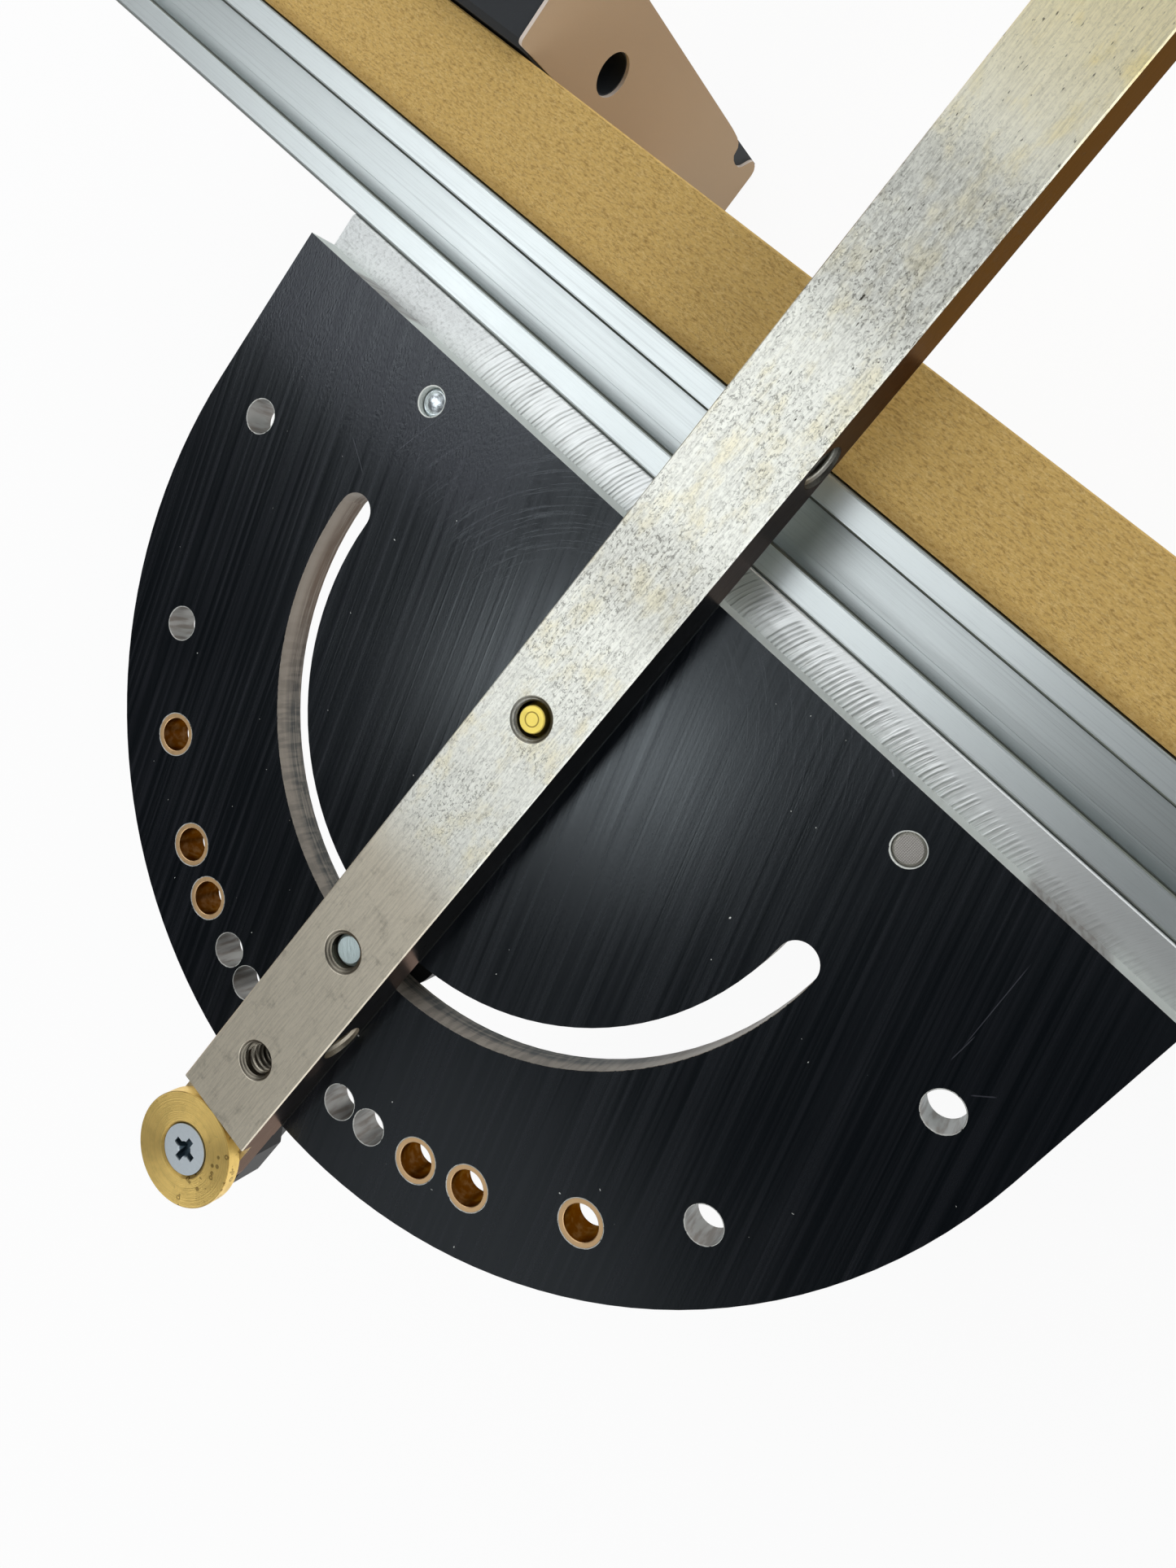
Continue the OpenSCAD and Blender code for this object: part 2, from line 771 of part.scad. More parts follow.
module handle_insert() {
    color(brass_colour)
        translate([0, -slot_r, 0])
            difference() {
                union() {
                    post([0, 0], insert_flange_r, [insert_flange_z - insert_flange_h, insert_flange_z]);
                    post([0, 0], insert_r, [insert_flange_z - insert_depth, insert_flange_z - eps]);
                }
                post([0, 0], stud_r + 0.05, [insert_flange_z - insert_depth - 1, insert_flange_z + 1]);
            }
}

// Smooth step from one value to another as t goes from 0 to 1
function blend(from, to, t) = from + (to - from) * (1 - cos(180 * t)) / 2;

// Radius of the turned handle at a share of its length from the clamp end
function handle_radius(t) =
    t < handle_neck ? blend(handle_base_d / 2, handle_neck_r, t / handle_neck)
    : t < handle_bulge ? blend(handle_neck_r, handle_d / 2, (t - handle_neck) / (handle_bulge - handle_neck))
    : blend(handle_d / 2, handle_end_r, (t - handle_bulge) / (1 - handle_bulge));

module clamp_handle() {
    steps = 24;
    round_r = 4;
    color(black_colour)
        translate([0, -slot_r, 0])
            difference() {
                turned(concat(
                    [[0, handle_top]],
                    [for (i = [0:steps - 1]) let (t = i / steps)
                        [handle_radius(t), handle_top - t * (handle_h - round_r)]],
                    arc([handle_end_r - round_r, handle_end + round_r], round_r, 0, -90),
                    [[0, handle_end]]));
                post([0, 0], insert_r, [handle_bore_z, handle_top + 1]);
                post([0, 0], insert_flange_r, [insert_flange_z - insert_flange_h, handle_top + 1]);
            }
}

module stop_body() {
    deep = stop_y[1] - stop_bolt_seat;
    color(black_colour)
        difference() {
            union() {
                along_x(stop_body_x)
                    polygon(cut_rect(stop_y, [rail_z[0], stop_low], 1.2));
                block(stop_body_x, [rail_y[1] + 0.35, stop_y[0] + 2], [rail_z[0], stop_foot_z]);
            }
            for (x = stop_bolt_x) {
                facing_back([x, stop_y[1] + 1, stop_slot_z])
                    cylinder(r = cap_head_r + 0.5, h = deep + 1);
                facing_back([x, stop_y[1] + 1, stop_slot_z])
                    cylinder(r = fence_bolt_r + 0.25, h = stop_y[1] - rail_y[1] + 2);
            }
            facing_left([stop_body_x[1] + 1, stop_hole[0], stop_hole[1]])
                cylinder(r = stop_hole_r - 0.3, h = stop_hole_depth);
        }
}

module stop_plate() {
    front = [for (at = concat(stop_front, stop_hook)) [stop_y[1] + at[0], rail_z[0] + at[1]]];
    end = front[len(front) - 1][1];
    color(tan_colour)
        difference() {
            along_x([stop_x - stop_plate_t, stop_x])
                polygon(concat(
                    arc([stop_plate_y[0] + stop_corner, stop_plate_low - stop_corner], stop_corner, 180, 90),
                    arc([stop_plate_y[1] - stop_corner, stop_plate_low - stop_corner], stop_corner, 90, 0),
                    front, [[stop_plate_y[0], end]]));
            facing_left([stop_x + 1, stop_hole[0], stop_hole[1]])
                cylinder(r = stop_hole_r, h = stop_plate_t + 2);
        }
}

module stop_bolts() {
    color(zinc_colour)
        for (x = stop_bolt_x)
            facing_back([x, stop_bolt_seat, stop_slot_z])
                socket_screw(fence_bolt_r, stop_bolt_seat - rail_y[1] + bolt_grip, cap_head_r, cap_head_h);
}

module stop_t_nuts() {
    color(steel_colour)
        for (x = stop_bolt_x)
            facing_work([x, rail_y[1], stop_slot_z])
                t_nut(t_nut_l, fence_bolt_r);
}

guide_bar();
slot_washer();
washer_screw();
index_arm();
arm_dowels();
plunger_sleeve();
index_plunger();
plunger_spring();
plunger_knob();
pivot_stud();
pivot_washer();
clamp_stud();
side_sleeves();
side_nose_front();
side_nose_rear();
side_spring_front();
side_spring_rear();
head_plate();
index_bushes();
pivot_bush();
fence_bracket();
bracket_screws();
fence_rail();
fence_bolts();
fence_t_nuts();
face_board();
board_screws();
board_t_nuts();
clamp_washer();
handle_insert();
clamp_handle();
stop_body();
stop_plate();
stop_bolts();
stop_t_nuts();
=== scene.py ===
"""Finishes, screw threads, springs and stage for the angle jig.

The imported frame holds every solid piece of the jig. This file gives each piece its finish, cuts the screw
threads that show in the bar's open holes, rounds the end of one screw, winds the springs, and sets up the
floor, the lamps and the camera.
"""

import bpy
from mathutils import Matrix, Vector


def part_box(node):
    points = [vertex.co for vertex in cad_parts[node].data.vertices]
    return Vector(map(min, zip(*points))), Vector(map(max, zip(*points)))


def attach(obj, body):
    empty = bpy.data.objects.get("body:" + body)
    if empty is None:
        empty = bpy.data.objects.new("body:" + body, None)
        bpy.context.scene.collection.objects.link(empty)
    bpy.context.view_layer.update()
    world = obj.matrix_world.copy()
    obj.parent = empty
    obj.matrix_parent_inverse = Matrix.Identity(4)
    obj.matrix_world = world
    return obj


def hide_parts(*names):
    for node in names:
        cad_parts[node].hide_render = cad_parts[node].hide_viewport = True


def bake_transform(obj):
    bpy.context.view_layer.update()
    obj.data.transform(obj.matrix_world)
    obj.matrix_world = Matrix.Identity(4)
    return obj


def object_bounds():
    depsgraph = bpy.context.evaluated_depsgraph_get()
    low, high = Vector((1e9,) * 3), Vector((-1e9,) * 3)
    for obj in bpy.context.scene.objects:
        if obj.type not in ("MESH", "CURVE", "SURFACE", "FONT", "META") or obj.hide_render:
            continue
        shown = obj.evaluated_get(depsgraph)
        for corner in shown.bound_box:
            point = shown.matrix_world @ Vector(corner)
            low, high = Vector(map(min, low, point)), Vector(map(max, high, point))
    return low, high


bl_info = {
    "name": "Angle jig",
    "version": (1, 0, 0),
    "blender": (4, 5, 0),
    "location": "View3D > Sidebar > Jig",
    "description": "Finishes, screw threads, springs and stage for the angle jig",
    "category": "Object",
}

import math

import bmesh
import bpy
from bpy.props import FloatProperty, FloatVectorProperty, PointerProperty
from mathutils import Matrix, Vector

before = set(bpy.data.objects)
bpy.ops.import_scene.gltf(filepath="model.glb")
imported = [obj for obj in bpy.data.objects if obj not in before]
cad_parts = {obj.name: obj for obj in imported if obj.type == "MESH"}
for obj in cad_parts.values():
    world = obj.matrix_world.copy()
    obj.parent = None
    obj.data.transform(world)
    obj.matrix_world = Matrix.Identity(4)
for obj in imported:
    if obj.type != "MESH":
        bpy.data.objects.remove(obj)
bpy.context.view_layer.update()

MM = 0.001
WHITE = (1.0, 1.0, 1.0, 1.0)

# Places on the jig, in millimetres
INDEX_R = 88.1
PIVOT = (0.0, 0.0)
CLAMP = (0.0, -57.75)
OPEN_THREAD = (0.0, -INDEX_R)
WASHER = (0.0, -115.2)
SIDE_HOLES_Y = (61.2, -74.0)
BAR_MIDDLE_Z = 4.86
BAR_TOP_Z = 9.625
SLOT_WALLS_R = (54.07, 61.43)
BRACKET_SCREWS = ((-57.75, 25.86), (57.75, 25.86))
LEFT_SCREW_END_Z = -1.12
RAIL_MIDDLE_Y = 51.3
BOARD_EDGE_Y = 61.6
FLOOR_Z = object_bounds()[0][2]

# Index holes, plain and bushed: radius in millimetres, and bearings in degrees to each side of the bar
PLAIN_HOLES = (3.5, (10.0, 15.0, 60.0, 90.0))
BUSHED_HOLES = (4.4, (22.5, 30.0, 45.0))

# Open threads of the bar, in millimetres: radius of the bores, and where the ridges start and end in them
OPEN_BORE_R = 3.175
OPEN_RIDGE_Z = (0.3, BAR_TOP_Z - 0.9)
SIDE_BORE_R = 4.0
SIDE_RIDGE_X = (3.3, 9.3)

# Changes of finish along the bar, and of the painted shade and reflection on its sides, in millimetres:
# where each starts and ends, the last towards the tongue
TONGUE_TO_WORN = (-42.0, -24.0)
PLAIN_TO_POCKED = (40.0, 75.0)
PITTED_TO_SMOOTH = (104.0, 116.0)
PLAIN_TO_STAINED = (98.0, 135.0)
STAINED_TO_CLEAN = (158.0, 190.0)
SIDE_TO_BOARD_REFLECTION = (62.0, 88.0)
SIDE_TO_TONGUE = (84.0, 104.0)

# Bands across the bar, one rusty and one of painted shade, in millimetres: middle, half width and soft edge
RUSTY_BAND = (94.0, 9.0, 10.0)
PAINTED_SHADE_BAND = (31.0, 4.0, 8.0)

# Hole mouths of the bar, in millimetres: radius, and pitch of the rings turned in them
MOUTH_R = 4.15
MOUTH_RING_PITCH = 0.42

# Lines on the head plate: sine and cosine of their lean from the bar, and pitch in millimetres
LINES_LEAN = (0.309, 0.951)
LINES_PITCH = 2.5

# Leathery patch of the head plate, with a painted sheen, in millimetres: where it fades in along Y, and out
# along X
LEATHERY_SHEEN_Y = (5.0, 22.0)
LEATHERY_SHEEN_X = (-42.0, -20.0)

# Scratches on circles about the pivot: radius in millimetres and angles, with half width and soft edge
DRAGGED_R = (42.0, 9.0, 12.0)
DRAGGED_LEFT = (2.45, 0.25, 0.35)
DRAGGED_RIGHT = (0.7, 0.25, 0.35)

# Rims of the bracket screws' holes, and the ring that holds the index holes, in millimetres
SCREW_RIM_R = 2.92
INDEX_RING_IN = (80.0, 82.0)
INDEX_RING_OUT = (94.0, 96.0)

# Bracket's milled face, in millimetres: where the hatching ends and where the curved marks fade out
HATCHED_X = (-66.0, -52.0)
FADING_X = (44.0, 82.0)

# Fence rail's edges with painted shade, in millimetres: heights of the T-slot's lips and of the outer face
RAIL_LIP_Z = (-9.7, -9.3)
RAIL_FACE_Z = (-7.75, -7.60)

# Pitch of the knurl on the right bracket screw's end, in millimetres
KNURL_PITCH = 0.62

# Tints of the reflection at grazing angles, and dirt in the grain of plain metals
STEEL_TINT = (0.55, 0.40, 0.32, 1.0)
PLATE_TINT = (0.86, 0.95, 1.0, 1.0)
BRONZE_TINT = (0.65, 0.5, 0.35, 1.0)
METAL_DIRT = (0.16, 0.16, 0.16)

# Springs: piece, node, body at the moving end, axis, moving end (0 low, 1 high), turns, wire's radius
SPRINGS = (
    ("plunger_coil", "plunger_spring", "plunger", 2, 1, 3, 0.30),
    ("side_coil_front", "side_spring_front", "nose_front", 0, 0, 5, 0.35),
    ("side_coil_rear", "side_spring_rear", "nose_rear", 0, 0, 5, 0.35),
)

# Straight scratches on the head plate: start, end and width in millimetres
SCRATCHES = (
    ((-58.2, 13.0), (-53.1, 28.5), 0.12), ((-97.5, 16.7), (-95.6, 25.0), 0.14),
    ((-68.2, 10.8), (-60.5, 6.4), 0.12), ((-51.2, 32.0), (-50.6, 33.9), 0.28),
    ((-50.5, 32.0), (-49.5, 33.7), 0.28), ((47.5, 33.4), (48.7, 32.6), 0.2),
    ((83.5, 6.4), (83.4, 12.4), 0.12), ((88.8, 4.8), (91.7, 7.8), 0.16),
    ((81.3, 26.7), (83.4, 9.0), 0.12),
)

# The photograph's view: where the lens is, which way it looks, and its angle
VIEW_FROM = (0.062205, 0.065046, 0.181189)
VIEW_RIGHT = (0.674766, 0.60738, -0.419261)
VIEW_UP = (-0.671923, 0.740571, -0.008545)
VIEW_BACK = (0.305302, 0.287477, 0.907826)
FILM_HEIGHT = 36.0
LENS = 26.508
LENS_DROP = -0.05977

# Lamps: height in metres, then name, place and size in metres, and share of the lamp level
LAMP_Z = 0.80
LAMPS = (
    ("lamp_middle", (-0.25, -0.26), (0.28, 0.16), 5.2),
    ("lamp_left", (-0.66, -0.11), (0.28, 0.12), 4.4),
    ("lamp_work", (-0.525, 0.06), (1.07, 0.28), 1.85),
    ("lamp_right", (0.24, -0.03), (0.24, 0.08), 0.25),
    ("lamp_far", (-0.30, 0.50), (0.40, 0.20), 1.0),
    ("lamp_tail", (0.0, -0.72), (0.40, 0.30), 0.6),
)

# Share of the floor's white that is its own, for the rays that show the background
FLOOR_GLOW = 0.92


def linear(level):
    """A display level from 0 to 255 as linear light."""
    share = level / 255
    return share / 12.92 if share <= 0.04045 else ((share + 0.055) / 1.055) ** 2.4


def tint(name, words, levels):
    """A colour that a user can change, given by its display levels."""
    return FloatVectorProperty(name=name, description=words, subtype="COLOR", size=3, min=0, max=1,
                               default=[linear(level) for level in levels])


def length(name, words, millimetres):
    """A length that a user can change, given in millimetres."""
    return FloatProperty(name=name, description=words, unit="LENGTH", min=0, precision=5,
                         default=millimetres * MM)


def level(name, words, value):
    """A light level that a user can change."""
    return FloatProperty(name=name, description=words, subtype="FACTOR", min=0, max=20, default=value)


class JigColours(bpy.types.PropertyGroup):
    """Colours of the jig's finishes."""
    steel: tint("Steel", "Drawn steel of the guide bar", (247, 248, 239))
    steel_stain: tint("Steel stain", "Warm stain on the guide bar", (252, 238, 186))
    steel_tail: tint("Tail steel", "Smooth steel at the bar's tongue end", (216, 208, 190))
    # Painted shade on the bar's sides, and a painted brown reflection of the board on them at the work end
    steel_side_shade: tint("Side steel", "Dull skin on the bar's sides", (112, 118, 124))
    steel_tail_side_shade: tint("Tail side steel", "Sides of the tongue end", (108, 113, 118))
    steel_side_board_reflection: tint("Stained side steel", "Brown sides of the bar's work end", (89, 77, 61))
    # Dark marks in steel, also the painted shade in the guide bar's holes
    steel_marks_and_shade: tint("Steel pits", "Dark pits in the guide bar", (70, 66, 58))
    bright: tint("Bright steel", "Turned and ground steel", (205, 205, 202))
    zinc: tint("Zinc", "Zinc plate on screws and studs", (232, 241, 246))
    stud_end: tint("Stud end", "Filed end of the clamp stud", (238, 255, 255))
    recess: tint("Screw recess", "Shaded recess of the cross head screw", (66, 88, 100))
    screw_end: tint("Screw end", "Rough end of a bracket screw", (192, 188, 182))
    brass: tint("Brass", "Turned brass", (247, 213, 128))
    brass_end: tint("Brass end", "Clean end of the pivot stud", (247, 224, 116))
    # Dark spots on brass, also the painted shade on its sloped faces
    brass_dirt_and_shade: tint("Brass spots", "Dark spots on the brass", (108, 80, 32))
    bronze: tint("Bronze", "Bushes in the plate", (234, 196, 148))
    bronze_bore: tint("Bronze bore", "Inside of the bushes", (88, 49, 10))
    plate: tint("Plate", "Black coating of the head plate", (4, 7, 11))
    # Rubbed coating, also the painted sheen on the leathery patch
    plate_rub_and_sheen: tint("Plate rubs", "Rubbed coating of the head plate", (46, 45, 53))
    plate_scratch: tint("Plate scratches", "Fine scratches in the coating", (84, 84, 92))
    bare: tint("Bare aluminium", "Cut walls of the head plate", (212, 214, 208))
    hole_wall: tint("Hole walls", "Reamed walls of the index holes", (172, 170, 166))
    slot_wall: tint("Slot walls", "Milled walls of the clamp slot", (160, 150, 138))
    slot_shade: tint("Slot shade", "Shaded cutter marks on the clamp slot's far walls", (82, 82, 80))
    # Darker tone low on the clamp slot's walls and in streaks on the hole walls
    bare_dark: tint("Dirty aluminium", "Dirt low on the clamp slot's walls", (98, 76, 58))
    milled: tint("Milled aluminium", "Fly-cut face of the bracket", (228, 231, 230))
    milled_dark: tint("Milling marks", "Shaded side of the fly-cut marks", (120, 122, 120))
    rail: tint("Rail", "Clear coating of the fence rail", (213, 220, 220))
    rail_dark: tint("Rail lines", "Die lines along the fence rail", (142, 146, 148))
    rail_edge: tint("Rail edges", "Shaded edges of the fence rail", (92, 96, 88))
    board: tint("Board", "Fibreboard", (207, 171, 100))
    board_dark: tint("Board fibres", "Dark fibres in the fibreboard", (136, 104, 50))
    board_light: tint("Board flecks", "Pale fibres in the fibreboard", (224, 195, 132))
    tan: tint("Stop plate", "Tan face of the stop plate", (164, 139, 110))
    tan_edge: tint("Stop plate edge", "Pale edge of the stop plate", (214, 200, 188))
    stop: tint("Stop body", "Black body of the stop", (34, 37, 40))
    plastic: tint("Plastic", "Black handle and knob", (26, 26, 28))
    arm: tint("Index arm", "Black coating of the index arm", (13, 13, 14))
    light: tint("Light", "Colour of the lamps and the room's light", (251, 253, 255))
    floor: tint("Floor", "Floor under the jig", (246, 246, 246))


class JigSizes(bpy.types.PropertyGroup):
    """Sizes of the details and levels of the lamps."""
    bar_pitch: length("Bar thread pitch", "Pitch of the open thread in the bar", 1.27)
    bar_thread: length("Bar thread height", "Height of the open thread's ridge", 0.58)
    side_pitch: length("Side thread pitch", "Pitch of the threads in the bar's sides", 1.25)
    side_thread: length("Side thread height", "Height of the side threads' ridges", 0.62)
    cut_pitch: length("Fly-cut pitch", "Feed between two fly-cut marks", 0.95)
    cut_radius: length("Fly-cut radius", "Radius of the fly-cut marks", 21.0)
    cut_centre: length("Fly-cut centre", "Where the fly cutter's path lies along the bar", 29.3)
    crown_radius: length("Crown radius", "Radius of the left bracket screw's rounded end", 2.2)
    crown_rise: length("Crown rise", "How far the left bracket screw's end is rounded up", 0.6)
    floor_reach: length("Floor reach", "How far the floor reaches", 6000.0)
    ceiling: level("Ceiling level", "Level of the dim light from straight above", 0.04)
    walls: level("Wall level", "Level of the even light from all round", 2.2)
    lamp: level("Lamp level", "Level of the soft lamps overhead", 1.0)


class Tie:
    """A socket of a finish's nodes, which takes part in Python sums."""

    def __init__(self, finish, socket):
        self.finish = finish
        self.socket = socket

    def work(self, operation, *terms):
        """A sum of the given kind."""
        return self.finish.node("ShaderNodeMath", {"operation": operation}, dict(enumerate(terms)))

    def __add__(self, other):
        return self.work("ADD", self, other)

    def __radd__(self, other):
        return self.work("ADD", other, self)

    def __sub__(self, other):
        return self.work("SUBTRACT", self, other)

    def __rsub__(self, other):
        return self.work("SUBTRACT", other, self)

    def __mul__(self, other):
        return self.work("MULTIPLY", self, other)

    def __rmul__(self, other):
        return self.work("MULTIPLY", other, self)

    def __pow__(self, other):
        return self.work("POWER", self, other)

    def __rpow__(self, other):
        return self.work("POWER", other, self)

    def __abs__(self):
        return self.work("ABSOLUTE", self)

    def __neg__(self):
        return self.work("MULTIPLY", self, -1.0)


class Finish:
    """A procedural material, with its places in millimetres and its face directions."""

    def __init__(self, name, output="ShaderNodeOutputMaterial", data=None):
        self.data = data or bpy.data.materials.new(name)
        self.data.use_nodes = True
        self.tree = self.data.node_tree
        self.tree.nodes.clear()
        self.output = self.tree.nodes.new(output)

    def node(self, kind, settings=None, sockets=None, output=0):
        """Any node: its settings, then the values or links of its sockets, and the output that is used."""
        made = self.tree.nodes.new(kind)
        for name, value in (settings or {}).items():
            setattr(made, name, value)
        for key, value in (sockets or {}).items():
            if isinstance(value, Tie):
                self.tree.links.new(value.socket, made.inputs[key])
            else:
                made.inputs[key].default_value = value
        return Tie(self, made.outputs[output])

    def place(self):
        """Place on the jig at rest, in millimetres."""
        metres = self.node("ShaderNodeTexCoord", output="Object")
        return self.node("ShaderNodeVectorMath", {"operation": "SCALE"}, {0: metres, "Scale": 1 / MM})

    def parts(self, vector):
        """The three numbers of a vector."""
        first = self.node("ShaderNodeSeparateXYZ", None, {0: vector})
        outputs = first.socket.node.outputs
        return [Tie(self, outputs[i]) for i in range(3)]

    def facing(self):
        """The three numbers of the face's direction, in the jig's own frame."""
        return self.parts(self.node("ShaderNodeTexCoord", output="Normal"))

    def noise(self, at, scale, stretch=(1, 1, 1), shift=0.0, detail=2.0, rough=0.5):
        """Noise with so many features to the millimetre, drawn out along an axis with a small share."""
        moved = self.node("ShaderNodeVectorMath", {"operation": "MULTIPLY_ADD"},
                          {0: at, 1: stretch, 2: (shift, shift, shift)})
        return self.node("ShaderNodeTexNoise", None,
                         {"Vector": moved, "Scale": scale, "Detail": detail, "Roughness": rough})

    def step(self, value, low, high):
        """0 below low and 1 above high, with a smooth change between them."""
        return self.node("ShaderNodeMapRange", {"interpolation_type": "SMOOTHSTEP"},
                         {"Value": value, "From Min": low, "From Max": high})

    def within(self, value, centre, half, soft):
        """1 where a value is within half of a centre, with a soft edge."""
        return 1.0 - self.step(abs(value - centre), half, half + soft)

    def wave(self, value, pitch):
        """A wave from 0 to 1, once to every pitch."""
        turn = value * (2 * math.pi / pitch)
        return turn.work("SINE", turn) * 0.5 + 0.5

    def mix(self, factor, first, second):
        """One colour where the factor is 0 and another where it is 1."""
        colours = [c if isinstance(c, Tie) else (*c, 1.0) for c in (first, second)]
        return self.node("ShaderNodeMix", {"data_type": "RGBA"},
                         {"Factor": factor, 6: colours[0], 7: colours[1]}, output=2)

    def scratch(self, x, y, start, end, width):
        """1 on a thin straight scratch between two places, fading towards its ends."""
        run = Vector(end) - Vector(start)
        way = run.normalized()
        dx, dy = x - start[0], y - start[1]
        along = dx * way.x + dy * way.y
        off = dx * -way.y + dy * way.x
        middle = run.length / 2
        return self.within(off, 0.0, 0.0, width) * self.within(along, middle, middle * 0.6, middle * 0.4)

    def round(self, x, y, centre):
        """Distance from an upright axis."""
        dx, dy = x - centre[0], y - centre[1]
        return (dx * dx + dy * dy) ** 0.5

    def shade(self, colour, rough, metal, height=None, **fixed):
        """The shader. Height is in millimetres, and fixed values go straight to their sockets."""
        sockets = {"Base Color": colour, "Roughness": rough, "Metallic": metal}
        if height is not None:
            sockets["Normal"] = self.node("ShaderNodeBump", None, {"Distance": MM, "Height": height})
        sockets.update({name.replace("_", " "): value for name, value in fixed.items()})
        self.show(self.node("ShaderNodeBsdfPrincipled", None, sockets))
        return self

    def show(self, shader):
        """Links a shader to the output."""
        self.tree.links.new(shader.socket, self.output.inputs[0])


def give(finish, *names):
    """Puts a finish on every slot of the named nodes."""
    for name in names:
        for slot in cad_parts[name].material_slots:
            slot.material = finish.data


def finish_of(node):
    """The finish that a node was given."""
    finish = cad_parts[node].material_slots[0].material
    if finish is None:
        raise RuntimeError(f"{node} has no finish yet")
    return finish


def circle(radius, sides):
    """Places evenly round a circle."""
    turns = [2 * math.pi * i / sides for i in range(sides)]
    return [(radius * math.cos(turn), radius * math.sin(turn)) for turn in turns]


def disc_faces(rings, sides):
    """Faces of a disc: one point in the middle, then rings of points from the inside out."""
    faces = [(0, 1 + i, 1 + (i + 1) % sides) for i in range(sides)]
    for k in range(rings - 1):
        a, b = 1 + k * sides, 1 + (k + 1) * sides
        faces += [(a + i, b + i, b + (i + 1) % sides, a + (i + 1) % sides) for i in range(sides)]
    return faces


def tube_faces(steps, sides):
    """Faces of a closed tube: rings of points one after another, and a face on both ends."""
    faces = []
    for i in range(steps):
        for k in range(sides):
            a, b = i * sides + k, i * sides + (k + 1) % sides
            faces.append((a, b, b + sides, a + sides))
    return faces + [tuple(range(sides)), tuple(steps * sides + k for k in range(sides))]


def mesh_piece(name, verts, faces, sharp_angle):
    """A new mesh object from points in metres, with smooth faces and sharp edges."""
    mesh = bpy.data.meshes.new(name)
    made = bmesh.new()
    points = [made.verts.new(v) for v in verts]
    for face in faces:
        made.faces.new([points[i] for i in face])
    bmesh.ops.recalc_face_normals(made, faces=made.faces)
    for face in made.faces:
        face.smooth = True
    made.to_mesh(mesh)
    made.free()
    mesh.set_sharp_from_angle(angle=sharp_angle)
    piece = bpy.data.objects.new(name, mesh)
    bpy.context.scene.collection.objects.link(piece)
    return piece


def thread_ridge(name, start, along, out, bore, height, pitch, run):
    """A screw thread's ridge inside a bore, as one closed ribbon that tapers off at both ends. Metres."""
    steps_per_turn, taper_steps = 40, 10
    root_share, crest_share, least_share = 0.46, 0.07, 0.02
    start, along, out = Vector(start), Vector(along), Vector(out)
    side = along.cross(out)
    travel = run - 2 * root_share * pitch
    steps = int(steps_per_turn * travel / pitch)
    verts = []
    for i in range(steps + 1):
        turn = 2 * math.pi * i / steps_per_turn
        middle = pitch * (root_share + i / steps_per_turn)
        taper = min(1.0, i / taper_steps, (steps - i) / taper_steps)
        crest = bore - height * max(taper, least_share)
        ray = out * math.cos(turn) + side * math.sin(turn)
        section = ((bore, -root_share), (crest, -crest_share), (crest, crest_share), (bore, root_share))
        for radius, share in section:
            verts.append(start + ray * radius + along * (middle + share * pitch))
    return mesh_piece(name, verts, tube_faces(steps, len(section)), sharp_angle=math.radians(35))


def wound_spring(name, node, axis, wire, turns):
    """A wound wire spring in a node's place, as one closed tube along an axis. Metres."""
    steps_per_turn, sides = 24, 10
    low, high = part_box(node)
    middle = (low + high) / 2
    u, v = [i for i in range(3) if i != axis]
    radius = (high[u] - low[u]) / 2 - wire
    steps = turns * steps_per_turn
    verts = []
    for i in range(steps + 1):
        turn = 2 * math.pi * i / steps_per_turn
        height = low[axis] + wire + (high[axis] - low[axis] - 2 * wire) * i / steps
        for k in range(sides):
            around = 2 * math.pi * k / sides
            reach = radius + wire * math.cos(around)
            point = middle.copy()
            point[u] += reach * math.cos(turn)
            point[v] += reach * math.sin(turn)
            point[axis] = height + wire * math.sin(around)
            verts.append(point)
    return mesh_piece(name, verts, tube_faces(steps, sides), sharp_angle=math.radians(50))


